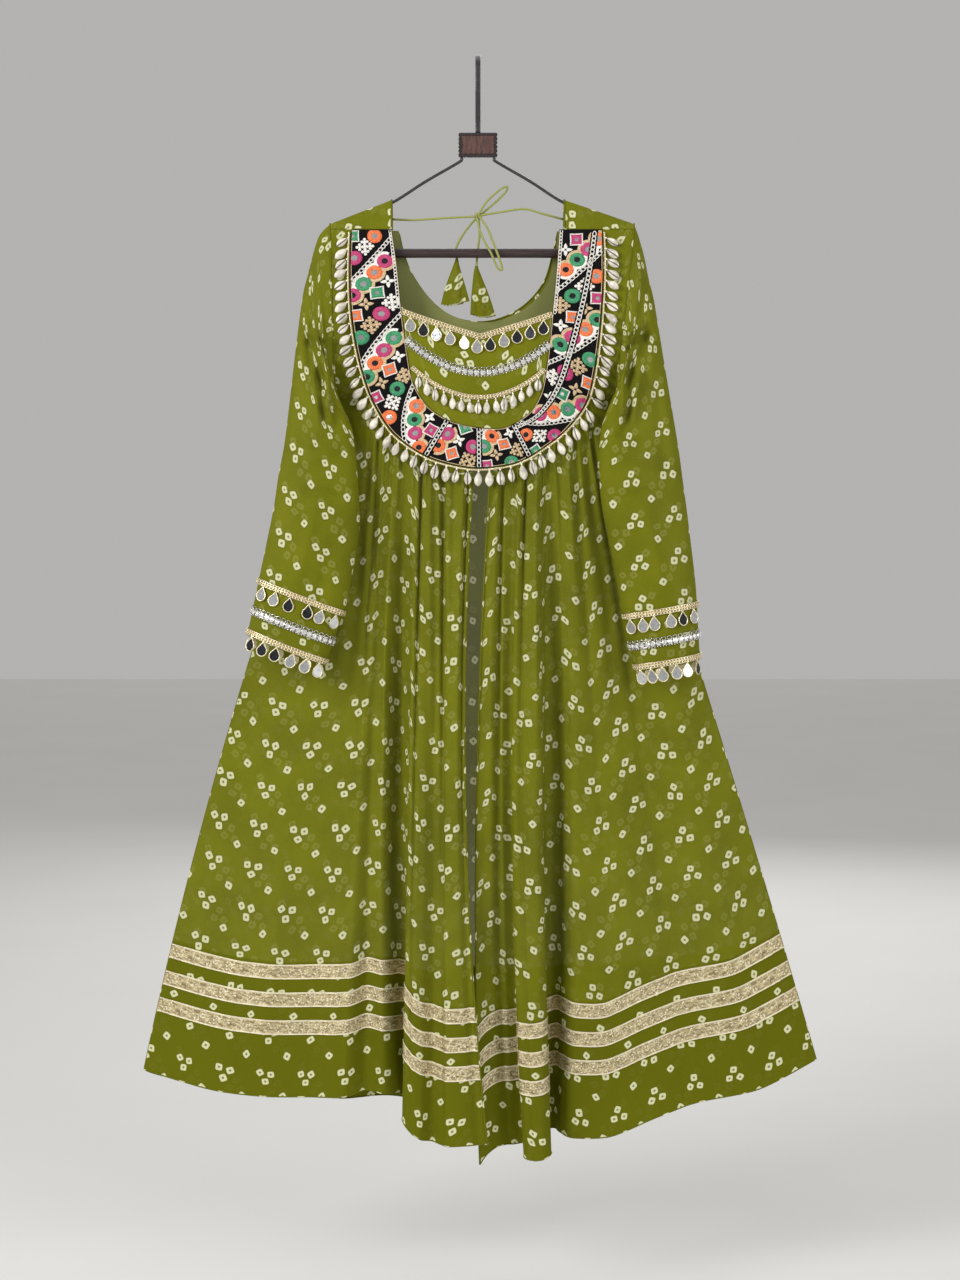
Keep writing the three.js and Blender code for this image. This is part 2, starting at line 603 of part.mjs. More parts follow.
// ---------------------------------------------------------------- trims
// A strip with four-sided section through `upper` and `lower` points on the cloth, with one
// hanging piece for each segment that `hangs` accepts. `outs` are the directions off the cloth.
function trim(name, material, { upper, lower, outs, depth, downs, profile = [], length = 0,
  hangs = () => false, closed = false, lean = 0 }) {
  const points = [];
  const add = (point) => points.push(point) - 1;
  const off = (point, i, distance) => point.clone().addScaledVector(outs[i], distance);
  const [near, far] = [SURFACE_GAP, SURFACE_GAP + depth];
  const ring = upper.map((_, i) => [
    add(off(upper[i], i, far)), add(off(lower[i], i, far)),
    add(off(lower[i], i, near)), add(off(upper[i], i, near)),
  ]);
  const faces = [];
  const count = upper.length;
  for (let i = 0; i < count - (closed ? 0 : 1); i += 1) {
    const next = (i + 1) % count;
    for (let side = 0; side < 4; side += 1) {
      if (side === 1 && hangs(i)) continue;
      const [a, b] = [ring[i][side], ring[i][(side + 1) % 4]];
      const [c, d] = [ring[next][(side + 1) % 4], ring[next][side]];
      faces.push([a, b, c], [a, c, d]);
    }
    if (!hangs(i)) continue;
    const root = [ring[i][1], ring[i][2], ring[next][2], ring[next][1]];
    const out = outs[i].clone().add(outs[next]).normalize();
    const down = downs[i].clone().add(downs[next]).normalize();
    const along = new THREE.Vector3().subVectors(lower[next], lower[i]).normalize();
    const across = new THREE.Vector3().crossVectors(down, out);
    if (across.dot(along) < 0) across.negate();
    const start = lower[i].clone().add(lower[next]).multiplyScalar(0.5);
    let previous = root;
    for (const [drop, halfWidth, halfDepth] of profile) {
      const middle = start.clone().addScaledVector(down, drop)
        .addScaledVector(out, near + halfDepth + lean * drop);
      const corners = [[-1, 1], [-1, -1], [1, -1], [1, 1]].map(([w, d]) => add(middle.clone()
        .addScaledVector(across, w * halfWidth).addScaledVector(out, d * halfDepth)));
      for (let c = 0; c < 4; c += 1) {
        const n = (c + 1) % 4;
        faces.push([previous[c], previous[n], corners[n]], [previous[c], corners[n], corners[c]]);
      }
      previous = corners;
    }
    const tip = add(start.clone().addScaledVector(down, length)
      .addScaledVector(out, near + profile[profile.length - 1][2] * 0.6 + lean * length));
    for (let c = 0; c < 4; c += 1) faces.push([previous[c], previous[(c + 1) % 4], tip]);
  }
  if (!closed) {
    const [a, b, c, d] = ring[0];
    const [e, f, g, h] = ring[count - 1];
    faces.push([a, c, b], [a, d, c], [e, f, g], [e, g, h]);
  }
  return meshNamed(name, material, points, faces);
}

// Direction off the front cloth at a point.
function frontOut(x, z) {
  const step = 2;
  const slopeX = (bodiceDepth(x + step, z, 1) - bodiceDepth(x - step, z, 1)) / (2 * step);
  const slopeZ = (bodiceDepth(x, z + step, 1) - bodiceDepth(x, z - step, 1)) / (2 * step);
  return new THREE.Vector3(slopeX, -1, slopeZ).normalize();
}

// Direction in which a piece of some length hangs on the front cloth, given its way across.
function hangDirection(x, z, acrossX, downZ, length) {
  const hang = new THREE.Vector3(acrossX, 0, downZ).normalize();
  const start = bodiceDepth(x, z, 1);
  hang.y = (start - bodiceDepth(x + hang.x * length, z + hang.z * length, 1)) / length;
  return hang.normalize();
}

// Trim lying on the yoke: line gives [x, z] of its upper edge at places 0..1.
function yokeTrim(name, material, line, segments, size, extra = {}) {
  const upper = [];
  const lower = [];
  const outs = [];
  const downs = [];
  for (let i = 0; i <= segments; i += 1) {
    const [x, z] = line(i / segments);
    downs.push(hangDirection(x, z - size.height, 0, -1, COWRIE_LENGTH));
    upper.push(onFront(x, z, HALF_CLOTH + TRIM_RISE));
    lower.push(onFront(x, z - size.height, HALF_CLOTH + TRIM_RISE));
    outs.push(frontOut(x, z - size.height / 2));
  }
  return trim(name, material, { upper, lower, outs, depth: size.depth, downs, ...extra });
}

function neckLace() {
  const [leftX] = bandEdges(FRONT_NECK.startStation).inner;
  const [rightX] = bandEdges(FRONT_NECK.endStation).inner;
  const line = (f) => {
    const x = lerp(leftX + 2.5, rightX - 2.5, f);
    return [x, frontNeckZ(x) + 1];
  };
  return yokeTrim('neck_lace', MIRROR_AND_GOLD, line, 11, LACE,
    { profile: MIRROR_DROP, length: MIRROR_DROP_LENGTH, hangs: () => true });
}

// Hanging curve between two points with a given sag.
const sagging = (fromX, fromZ, toX, toZ, lowZ) => (f) => {
  const chord = lerp(fromZ, toZ, f);
  const middle = (fromZ + toZ) / 2;
  return [lerp(fromX, toX, f), chord - (middle - lowZ) * (1 - (2 * f - 1) ** 2)];
};
const neckChain = () => yokeTrim('neck_chain', SILVER, sagging(-88, -352, 88, -358, -393), 12, CHAIN);
const cowrieLace = () => yokeTrim('cowrie_lace', SHELL, sagging(-82, -391, 83, -394, -428), 15, COWRIE_LACE,
  { profile: COWRIE.map(([drop, width, depth]) => [drop * 0.85, width, depth]), length: COWRIE_LENGTH * 0.85,
    hangs: () => true });

// Fringe of cowries along the outer edge of the band: they hang down and lean away from it.
function cowrieFringe() {
  const last = BAND.length - 1;
  const samples = 300;
  const edge = Array.from({ length: samples + 1 }, (_, i) => bandEdges(0.12 + (i / samples) * (last - 0.24)).edge);
  const lengths = [0];
  for (let i = 1; i <= samples; i += 1) {
    lengths.push(lengths[i - 1] + Math.hypot(edge[i][0] - edge[i - 1][0], edge[i][1] - edge[i - 1][1]));
  }
  const at = (f) => {
    const wanted = f * lengths[samples];
    const i = clamp(lengths.findIndex((length) => length >= wanted), 1, samples);
    const part = (wanted - lengths[i - 1]) / (lengths[i] - lengths[i - 1]);
    return [lerp(edge[i - 1][0], edge[i][0], part), lerp(edge[i - 1][1], edge[i][1], part)];
  };
  const [upper, lower, outs, downs] = [[], [], [], []];
  for (let i = 0; i <= FRINGE_COUNT; i += 1) {
    const f = i / FRINGE_COUNT;
    const [x, z] = at(f);
    const [before, after] = [at(Math.max(0, f - 0.01)), at(Math.min(1, f + 0.01))];
    const away = new THREE.Vector2(after[1] - before[1], before[0] - after[0]).normalize();
    const start = 0.9;
    const near = [x + away.x * start, z + away.y * start];
    const far = [x + away.x * (start + FRINGE_CORD.height), z + away.y * (start + FRINGE_CORD.height)];
    upper.push(onFront(near[0], near[1], HALF_CLOTH + TRIM_RISE));
    lower.push(onFront(far[0], far[1], HALF_CLOTH + TRIM_RISE));
    outs.push(frontOut(x, z));
    downs.push(hangDirection(far[0], far[1], away.x * 0.82, away.y - 0.55, COWRIE_LENGTH));
  }
  return trim('cowrie_fringe', SHELL, { upper, lower, outs, downs, depth: FRINGE_CORD.depth, profile: COWRIE,
    length: COWRIE_LENGTH, hangs: () => true, lean: 0.16 });
}

// Trim round a cuff. Mirror drops hang from the front and back segments, none from the two edges.
function cuffTrim(name, material, side, above, size, drops) {
  const upper = cuffRing(side, above + size.height, 0);
  const lower = cuffRing(side, above, 0);
  const outer = cuffRing(side, above + size.height / 2, 1);
  const inner = cuffRing(side, above + size.height / 2, 0);
  const outs = outer.map((point, i) => point.clone().sub(inner[i]).normalize());
  const downs = upper.map((point, i) => lower[i].clone().sub(point).normalize());
  const quarter = SLEEVE_POINTS / 2;
  const hangs = (i) => drops && i % quarter >= 1 && i % quarter <= quarter - 2;
  return trim(name, material, { upper, lower, outs, downs, depth: size.depth, profile: MIRROR_DROP,
    length: MIRROR_DROP_LENGTH, hangs, closed: true });
}

function gotaStrip(name, columns, surface, lowerEdge) {
  const fractions = columns.map((column) => {
    const length = surface(column, 1).distanceTo(surface(column, 0));
    return [1 - (lowerEdge + GOTA.width) / length, 1 - (lowerEdge + GOTA.width / 2) / length, 1 - lowerEdge / length];
  });
  const rows = [0, 1, 2].map((row) => columns.map((column, i) => surface(column, fractions[i][row])));
  const lift = HALF_CLOTH + SURFACE_GAP + GOTA.thickness / 2;
  const outward = name.includes('back') ? 1 : -1;
  const turned = movedOut(rows, 1)[1][4].y - rows[1][4].y;
  const lifted = movedOut(rows, Math.sign(turned) === outward ? lift : -lift);
  return gridWall(name, GOTA_FOIL, [lifted[0], lifted[2]], GOTA.thickness);
}

// ---------------------------------------------------------------- hanger
function hook() {
  const radius = HOOK.innerRadius + HOOK.thickness / 2;
  const centreZ = -HOOK.innerRadius;
  const path = [[0, BLOCK.topZ + 0.3], [0, -78], [-radius, HOOK.stemKinkZ + 12], [-radius, centreZ]];
  for (let i = 1; i <= 8; i += 1) {
    const angle = Math.PI - (i / 8) * Math.PI;
    path.push([Math.cos(angle) * radius, centreZ + Math.sin(angle) * radius]);
  }
  path.push([radius, HOOK.tipZ]);
  const rings = path.map(([y, z], i) => {
    const [before, after] = [path[Math.max(0, i - 1)], path[Math.min(path.length - 1, i + 1)]];
    const first = i === 0 ? [0, 1] : [after[0] - before[0], after[1] - before[1]];
    const length = Math.hypot(...first);
    const [ny, nz] = [-first[1] / length, first[0] / length];
    const half = HOOK.thickness / 2;
    return [[-1, -1], [1, -1], [1, 1], [-1, 1]].map(([w, n]) =>
      new THREE.Vector3(w * HOOK.width / 2, y + ny * n * half, z + nz * n * half));
  });
  return loft('hanger_hook', BLACK_METAL, rings);
}

function block() {
  const mesh = new THREE.Mesh(new THREE.BoxGeometry(BLOCK.width, BLOCK.depth, BLOCK.height), BLOCK_WOOD);
  mesh.name = 'hanger_block';
  mesh.position.z = BLOCK.topZ - BLOCK.height / 2;
  return mesh;
}

function bar() {
  const length = BAR.rightX - BAR.leftX;
  const mesh = new THREE.Mesh(new THREE.CylinderGeometry(BAR.radius, BAR.radius, length, 14), BAR_WOOD);
  mesh.name = 'hanger_bar';
  mesh.rotation.z = Math.PI / 2;
  mesh.position.set((BAR.leftX + BAR.rightX) / 2, 0, BAR.z);
  return mesh;
}

function arm(side) {
  const sign = side === 'left' ? -1 : 1;
  const { neckX, tipX } = SIDES[side];
  const below = HALF_CLOTH + 0.4 + WIRE_RADIUS;
  const stubZ = BLOCK.topZ - BLOCK.height - 0.3;
  const endX = side === 'left' ? -197 : 199.5;
  const route = points3([
    [sign * 21, 0, stubZ], [sign * 21, 0, stubZ - 2], [sign * 25, 0, stubZ - 6],
    [lerp(sign * 25, neckX, 0.5), 0, lerp(stubZ - 5, NECK_POINT_Z - below, 0.5)],
    [neckX, 0, NECK_POINT_Z - below - 0.6],
    [lerp(neckX, tipX, 0.5), 0, lerp(NECK_POINT_Z, ARMHOLE_TOP_Z, 0.5) - below - 0.3],
    [tipX - sign * 5, 0, ARMHOLE_TOP_Z - below - 0.2],
    [tipX + sign * 1, 0, ARMHOLE_TOP_Z - 6.5],
    [lerp(tipX, endX, 0.8), 0, -222.5], [endX, 0, -230], [endX, 0, BAR.z + BAR.radius + 0.35],
  ]);
  return rod(`hanger_arm_${side}`, BLACK_METAL, route, WIRE_RADIUS, 24, 6);
}

// ---------------------------------------------------------------- back neck tie
const TIE_ROUTES = {
  tie_left: [14, [[-109.5, 11.3, -203], [-60, 10.6, -202.6], [-5.5, 10, -199.5]]],
  tie_right: [14, [[109.5, 11.3, -203], [60, 10.6, -190], [5.5, 10, -198]]],
  bow_loop_up: [9, [[2.2, 8.2, -194.6], [12, 7, -180], [28, 5, -166], [37, 5, -162], [36, 8, -168],
    [24, 12, -180], [6, 12.2, -195.4]]],
  bow_loop_down: [18, [[2.9, 6.9, -201.6], [12, -2, -215], [21, -9.8, -238], [28, -9.8, -256], [31, -9, -268],
    [25, -9.6, -266], [17, -9.8, -248], [8, -9.2, -232], [1.4, -2, -215], [-0.9, 5.8, -202.9]]],
  tail_left: [8, [[-3.1, 11.7, -202.4], [-17, 14, -219], [-28, 12, -239], [-27, 11, -254.5]]],
  tail_right: [8, [[0.7, 13.1, -202.9], [2, 14, -222], [0, 12, -240], [-2, 11, -263.5]]],
};

function knot() {
  const rings = [[-4.4, 2], [-2.4, 3.9], [0, 4.4], [2.4, 3.9], [4.4, 2]].map(([along, radius]) =>
    Array.from({ length: CORD_SIDES }, (_, i) => {
      const angle = (i / CORD_SIDES) * 2 * Math.PI;
      return new THREE.Vector3(KNOT.x + along, KNOT.y + Math.cos(angle) * radius,
        KNOT.z + Math.sin(angle) * radius);
    }));
  return loft('tie_knot', CORD_CLOTH, rings);
}

// A tassel is a cone of folded cloth: rows run from its head to its open lower edge.
function tassel(name, rows) {
  const rings = rows.map(([x, y, z, halfWidth, halfDepth, tilt]) =>
    Array.from({ length: 10 }, (_, i) => {
      const angle = (i / 10) * 2 * Math.PI;
      const swing = i % 2 === 0 ? 1 : 0.82;
      return new THREE.Vector3(x + Math.cos(angle) * halfWidth, y + Math.sin(angle) * halfDepth * swing,
        z + Math.cos(angle) * tilt);
    }));
  return loft(name, GEORGETTE, rings);
}

// ---------------------------------------------------------------- the whole part
const kurti = new THREE.Group();
for (const side of ['left', 'right']) {
  kurti.add(frontPanel(side), shoulderStrip(side), sleeve(side), arm(side));
  kurti.add(
    cuffTrim(`cuff_lace_upper_${side}`, MIRROR_AND_GOLD, side, CUFF.laceAbove, LACE, true),
    cuffTrim(`cuff_chain_${side}`, SILVER, side, CUFF.chainAbove, CHAIN, false),
    cuffTrim(`cuff_lace_hem_${side}`, MIRROR_AND_GOLD, side, CUFF.hemLaceAbove, LACE, true),
  );
  GOTA.lowerEdges.forEach((edge, i) => kurti.add(
    gotaStrip(`gota_front_${side}_${i + 1}`, frontColumns(side), frontPoint, edge)));
}
GOTA.lowerEdges.forEach((edge, i) => kurti.add(gotaStrip(`gota_back_${i + 1}`, backColumns, backPoint, edge)));
kurti.add(backBodice(), backSkirt(), backFacing(), frontYoke(), embroideredBand());
kurti.add(neckLace(), neckChain(), cowrieLace(), cowrieFringe());
kurti.add(hook(), block(), bar());
for (const [name, [steps, route]] of Object.entries(TIE_ROUTES)) {
  kurti.add(rod(name, CORD_CLOTH, points3(route), CORD_RADIUS, steps));
}
kurti.add(
  knot(),
  tassel('tassel_left', [[-27, 11, -254.9, 2, 2, 0], [-28, 11, -262, 4, 3.5, 0], [-30, 12, -290, 13, 6, 2],
    [-30, 12, -311, 18, 7, 2]]),
  tassel('tassel_right', [[-2, 11, -263.9, 2, 2, 0], [-1.5, 11, -271, 4, 3.5, 0], [3, 12, -300, 11, 6, -1],
    [6.5, 12, -327, 15.5, 7, -1]]),
);

export default kurti;
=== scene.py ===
import functools
import math

import bpy
import numpy as np
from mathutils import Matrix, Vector


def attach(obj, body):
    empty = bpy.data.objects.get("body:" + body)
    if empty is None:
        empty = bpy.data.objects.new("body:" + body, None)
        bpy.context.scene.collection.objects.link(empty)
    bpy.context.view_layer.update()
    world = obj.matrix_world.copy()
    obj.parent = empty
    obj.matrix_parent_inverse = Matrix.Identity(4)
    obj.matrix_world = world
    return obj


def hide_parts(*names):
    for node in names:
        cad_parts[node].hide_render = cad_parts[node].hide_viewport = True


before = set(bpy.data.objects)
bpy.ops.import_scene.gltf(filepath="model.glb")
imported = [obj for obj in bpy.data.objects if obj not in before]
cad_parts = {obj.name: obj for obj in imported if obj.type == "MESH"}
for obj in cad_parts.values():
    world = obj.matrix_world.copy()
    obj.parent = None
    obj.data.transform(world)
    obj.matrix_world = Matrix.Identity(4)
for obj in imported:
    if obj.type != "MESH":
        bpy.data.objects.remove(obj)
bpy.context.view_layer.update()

MM = 0.001     # lengths below are millimetres on the garment, and Blender works in metres
UV, PLACE = 2, 3     # outputs of a texture coordinate node: metres of cloth, and metres in the room


# ---------- Camera
# A portrait lens well in front of the rail, a little above the middle of the kurti, looking slightly down.
VIEW_DISTANCE = 3.3
VIEW_PITCH = math.radians(5)
VIEW_CENTRE = Vector((0.0026, 0.0, -0.745))
VIEW_HEIGHT = 1.664      # metres of the hanger plane seen from the frame's top to its bottom
SENSOR = 36.0

lens = bpy.data.cameras.new("camera")
lens.sensor_width = SENSOR
lens.lens = SENSOR * VIEW_DISTANCE / VIEW_HEIGHT
camera = bpy.data.objects.new("camera", lens)
camera.location = VIEW_CENTRE + VIEW_DISTANCE * Vector((0, -math.cos(VIEW_PITCH), math.sin(VIEW_PITCH)))
camera.rotation_euler = (math.pi / 2 - VIEW_PITCH, 0, 0)
bpy.context.scene.collection.objects.link(camera)
bpy.context.scene.camera = camera


# ---------- Tie cords of the back neck
# Two narrow bias tubes of the kurti's own georgette, turned right side out and sewn in at the neck ends
# of the shoulders. They meet in a bow behind the hanger bar and end in cloth tassels.
CORD_RADIUS = 1.5
TIES = {
    # from the shoulder through the knot, round the bow's loop, through the knot again and down into the tassel
    "left": [
        [-109.5, 11.3, -203], [-85, 10.9, -204], [-60, 10.6, -202.6], [-32, 10.3, -200.8], [-5.5, 10, -199.5],
        [-1, 9, -197.5], [2.2, 8.2, -194.6], [12, 7, -180], [28, 5, -166], [37, 5, -162], [36, 8, -168],
        [24, 12, -180], [6, 12.2, -195.4], [1.5, 12.8, -199.8], [-3.1, 11.7, -202.4], [-17, 14, -219],
        [-28, 12, -239], [-27, 11, -254.5], [-28, 11, -264], [-29, 11.5, -276],
    ],
    "right": [
        [109.5, 11.3, -203], [85, 10.9, -196.5], [60, 10.6, -190], [32, 10.3, -193.5], [5.5, 10, -198],
        [4, 8, -200], [2.9, 6.9, -201.6], [12, -2, -215], [21, -9.8, -238], [28, -9.8, -256], [31, -9, -268],
        [25, -9.6, -266], [17, -9.8, -248], [8, -9.2, -232], [1.4, -2, -215], [-0.9, 5.8, -202.9],
        [-2, 9.6, -204.6], [0.7, 13.1, -202.9], [2, 14, -222], [0, 12, -240], [-2, 11, -263.5],
        [-1.3, 11, -273], [1, 11.5, -285],
    ],
}


def linear(hex_colour):
    """Linear red, green, blue and alpha of an sRGB hex colour."""
    values = [int(hex_colour[i:i + 2], 16) / 255 for i in (1, 3, 5)]
    return [v / 12.92 if v <= 0.04045 else ((v + 0.055) / 1.055) ** 2.4 for v in values] + [1.0]


def add_node(tree, kind, inputs=(), output=0, **settings):
    """Adds a shader node, such as "Math.SINE", with its settings and its input values or links, which are given
    in order or by name. Returns one of its outputs."""
    kind, _, operation = kind.partition(".")
    node = tree.nodes.new("ShaderNode" + kind)
    if operation:
        node.operation = operation
    for name, value in settings.items():
        setattr(node, name, value)
    for key, value in inputs.items() if isinstance(inputs, dict) else enumerate(inputs):
        if isinstance(value, bpy.types.NodeSocket):
            tree.links.new(value, node.inputs[key])
        else:
            node.inputs[key].default_value = value
    return node.outputs[output] if len(node.outputs) else node


def new_material(name):
    """An empty material, and the function that adds nodes to it."""
    material = bpy.data.materials.new(name)
    material.use_nodes = True
    material.node_tree.nodes.clear()
    return material, functools.partial(add_node, material.node_tree)


def mottled(name, tones, scale, detail, space, shader, bump=None, gloss=None):
    """A material in two tones of one noise. The noise can also lift the surface, by a bump of (strength,
    distance), and vary its roughness between two values."""
    material, node = new_material(name)
    place = node("TexCoord", output=space)
    grain = node("TexNoise", {"Vector": place, "Scale": scale, "Detail": detail})
    dark, light = tones
    tone = node("Mix", {0: grain, 6: linear(dark), 7: linear(light)}, 2, data_type="RGBA")
    inputs = {"Base Color": tone, **shader}
    if bump:
        inputs["Normal"] = node("Bump", {"Height": grain, "Strength": bump[0], "Distance": bump[1]})
    if gloss:
        inputs["Roughness"] = node("MapRange", {"Value": grain, "To Min": gloss[0], "To Max": gloss[1]})
    node("OutputMaterial", {"Surface": node("BsdfPrincipled", inputs)})
    return material


def unit(vectors):
    """The same vectors at length one."""
    vectors = np.asarray(vectors, float)
    return vectors / np.maximum(np.linalg.norm(vectors, axis=-1, keepdims=True), 1e-9)


def beside(*values):
    """Values side by side along a new last axis."""
    return np.stack(np.broadcast_arrays(*values), -1)


def grid_quads(rows, columns, closed=False):
    """Quads between the points of a grid, numbered row by row."""
    index = np.arange(rows * columns).reshape(rows, columns)
    if closed:
        index = np.hstack([index, index[:, :1]])
    return beside(index[:-1, :-1], index[:-1, 1:], index[1:, 1:], index[1:, :-1]).reshape(-1, 4)


def dressed(name, parts, materials, slot, *nodes, smooth=True):
    """One piece from parts of (points in mm, list of face arrays, UV in metres of cloth, material number). It
    rides on the part in place of its CAD nodes. Its slot argument is not used."""
    points, uvs, faces, loops, numbers, offset = [], [], [], [], [], 0
    for part_points, polygons, uv, number in parts:
        for array in polygons:
            faces += (array + offset).tolist()
            loops.append((array + offset).ravel())
            numbers += [number] * len(array)
        points.append(part_points)
        uvs.append(uv)
        offset += len(part_points)
    mesh = bpy.data.meshes.new(name)
    mesh.from_pydata((np.concatenate(points) * MM).tolist(), [], faces)
    mesh.uv_layers.new(name="cloth").data.foreach_set("uv", np.concatenate(uvs)[np.concatenate(loops)].ravel())
    for material in materials:
        mesh.materials.append(material)
    mesh.polygons.foreach_set("material_index", numbers)
    mesh.polygons.foreach_set("use_smooth", [smooth] * len(faces))
    mesh.update()
    piece = bpy.data.objects.new(name, mesh)
    bpy.context.scene.collection.objects.link(piece)
    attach(piece, "root")
    if nodes:
        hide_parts(*nodes)
    return piece


def smooth_line(points, parts):
    """Catmull-Rom line through points, with so many parts between two of them."""
    points = np.asarray(points, float)
    padded = np.vstack([2 * points[0] - points[1], points, 2 * points[-1] - points[-2]])
    f = np.linspace(0, 1, parts, endpoint=False)[:, None]
    spans = []
    for i in range(len(points) - 1):
        a, b, c, d = padded[i:i + 4]
        spans.append(0.5 * (2 * b + (c - a) * f + (2 * a - 5 * b + 4 * c - d) * f ** 2
                            + (3 * b - 3 * c + d - a) * f ** 3))
    return np.vstack(spans + [points[-1:]])


def lengths_along(points):
    """Running length of a line from its first point."""
    return np.concatenate([[0], np.cumsum(np.linalg.norm(np.diff(points, axis=0), axis=1))])


def full_turn(count):
    """Angles at even steps once round."""
    return np.linspace(0, 2 * np.pi, count, endpoint=False)


def line_frames(points, closed=False):
    """Directions along, beside and off a line, carried along it without twist."""
    if closed:
        along = unit(np.roll(points, -1, 0) - np.roll(points, 1, 0))
    else:
        along = unit(np.gradient(points, axis=0))
    side = np.zeros_like(points)
    start = np.array([0, 1, 0.0]) if abs(along[0, 1]) < 0.8 else np.array([1, 0, 0.0])
    for i, direction in enumerate(along):
        start = unit(start - direction * np.dot(start, direction))
        side[i] = start
    return along, side, np.cross(along, side)


def tube(points, radius, sides=10, slot=0, closed=False):
    """A tube round a line. UV runs round it and along it."""
    points = np.asarray(points, float)
    _, side, up = line_frames(points, closed)
    radius = np.broadcast_to(np.asarray(radius, float), (len(points),))
    angle = full_turn(sides)
    ring = np.cos(angle)[None, :, None] * side[:, None] + np.sin(angle)[None, :, None] * up[:, None]
    solid = points[:, None] + ring * radius[:, None, None]
    along = lengths_along(points)
    uv = beside(angle[None] * radius.mean(), along[:, None]).reshape(-1, 2) * MM
    faces = [grid_quads(len(points), sides, closed=True)]
    around = np.arange(sides)
    ahead = np.roll(around, -1)
    last = (len(points) - 1) * sides + around
    after_last = (len(points) - 1) * sides + ahead
    solid = solid.reshape(-1, 3)
    if closed:
        faces = [np.vstack([*faces, beside(last, after_last, ahead, around)])]
    else:
        count = len(solid)
        solid = np.vstack([solid, points[0], points[-1]])
        uv = np.vstack([uv, uv[0], uv[-1]])
        faces += [beside(np.full(sides, count), ahead, around),
                  beside(np.full(sides, count + 1), last, after_last)]
    return solid, faces, uv, slot


# Georgette bias tube: matt, a little lighter where the folded edge rubs, with the crepe grain along it.
cord_cloth = mottled("georgette_bias_cord", ("#6c7026", "#a5a862"), 900.0, 3.0, UV,
                     {"Roughness": 0.8, "Sheen Weight": 0.25, "Sheen Roughness": 0.4}, bump=(0.6, 0.0006))

tie_lines = {}
for side_name, loop in (("left", "up"), ("right", "down")):
    tie_lines[side_name] = smooth_line(TIES[side_name], 6)
    dressed(f"tie_cord_{side_name}", [tube(tie_lines[side_name], CORD_RADIUS)], [cord_cloth],
                                   "cord_cloth", f"tie_{side_name}", f"bow_loop_{loop}", f"tail_{side_name}")

# The knot is the two cords wound once round each other, pulled tight.
KNOT = np.array([0, 10, -199.0])
turns = np.linspace(0, 2.25 * 2 * np.pi, 64)
winding = beside(np.linspace(-3.2, 3.2, 64), 2.6 * np.cos(turns), 2.6 * np.sin(turns)) + KNOT
across_knot = beside(2.2 * np.cos(turns[:29]), np.linspace(-1.5, 1.5, 29), 3.4 * np.sin(turns[:29])) + KNOT
dressed("tie_knot_wound", [tube(winding, 1.4, 8), tube(across_knot, 1.3, 8)], [cord_cloth],
        "cord_cloth", "tie_knot")


# ---------- Hanger
# A flat black steel hook, a brown block with ridged ends, two black wire arms and a turned wooden bar. The
# hook is bent strip set into the block, and the wires are pressed into block and bar.
HOOK = {"width": 6.6, "thickness": 3.0, "inner_radius": 18.0}
BLOCK = {"width": 50.0, "height": 30.5, "top": -95.0}
BAR = {"radius": 6.0, "z": -247.0, "left": -199.0, "right": 202.0}
WIRE_RADIUS = 2.0
ARM_ROUTES = {
    # x, z of each wire from the block over the shoulder down to the bar
    "left": [[-21, -125.9], [-21, -128], [-25, -132], [-67.8, -156.5], [-110.5, -183.1], [-149.5, -198],
             [-183.5, -212.7], [-189.6, -216], [-195.3, -222.5], [-197, -230], [-197, -240.7]],
    "right": [[21, -125.9], [21, -128], [25, -132], [67.8, -156.5], [110.5, -183.1], [154.8, -198],
              [194, -212.7], [200.2, -216], [199.4, -222.5], [199.5, -230], [199.5, -240.7]],
}

# Black lacquered steel: smooth low gloss, with faint runs and rubbed, paler edges.
black_steel = mottled("black_lacquered_steel", ("#1b1a1c", "#39383a"), 160.0, 4.0, PLACE,
                      {"Metallic": 0.2, "Coat Weight": 0.3}, bump=(0.25, 0.0004), gloss=(0.3, 0.5))


def stained_wood(name, dark, light, roughness, across):
    """Stained and oiled wood: darker grain lines run along the piece, with fine pores."""
    material, node = new_material(name)
    place = node("TexCoord", output=PLACE)
    stretched = node("VectorMath.MULTIPLY", [place, across])
    grain = node("TexNoise", {"Vector": stretched, "Scale": 1.0, "Detail": 6.0, "Roughness": 0.65})
    lines = node("MapRange", {"Value": grain, "From Min": 0.35, "From Max": 0.65})
    tone = node("Mix", {0: lines, 6: linear(dark), 7: linear(light)}, 2, data_type="RGBA")
    bump = node("Bump", {"Height": lines, "Strength": 0.35, "Distance": 0.0004})
    shader = node("BsdfPrincipled", {"Base Color": tone, "Roughness": roughness, "Normal": bump})
    node("OutputMaterial", {"Surface": shader})
    return material


# Grain about 1.2 mm apart across the wood and long along it.
bar_wood = stained_wood("dark_stained_wood_bar", "#170b0b", "#3a2626", 0.42, (40, 800, 800))
block_wood = stained_wood("brown_stained_wood_block", "#371f1b", "#5a3a31", 0.5, (300, 300, 60))
block_edge = stained_wood("blackened_wood_edge", "#120b0c", "#261a1b", 0.45, (300, 300, 60))


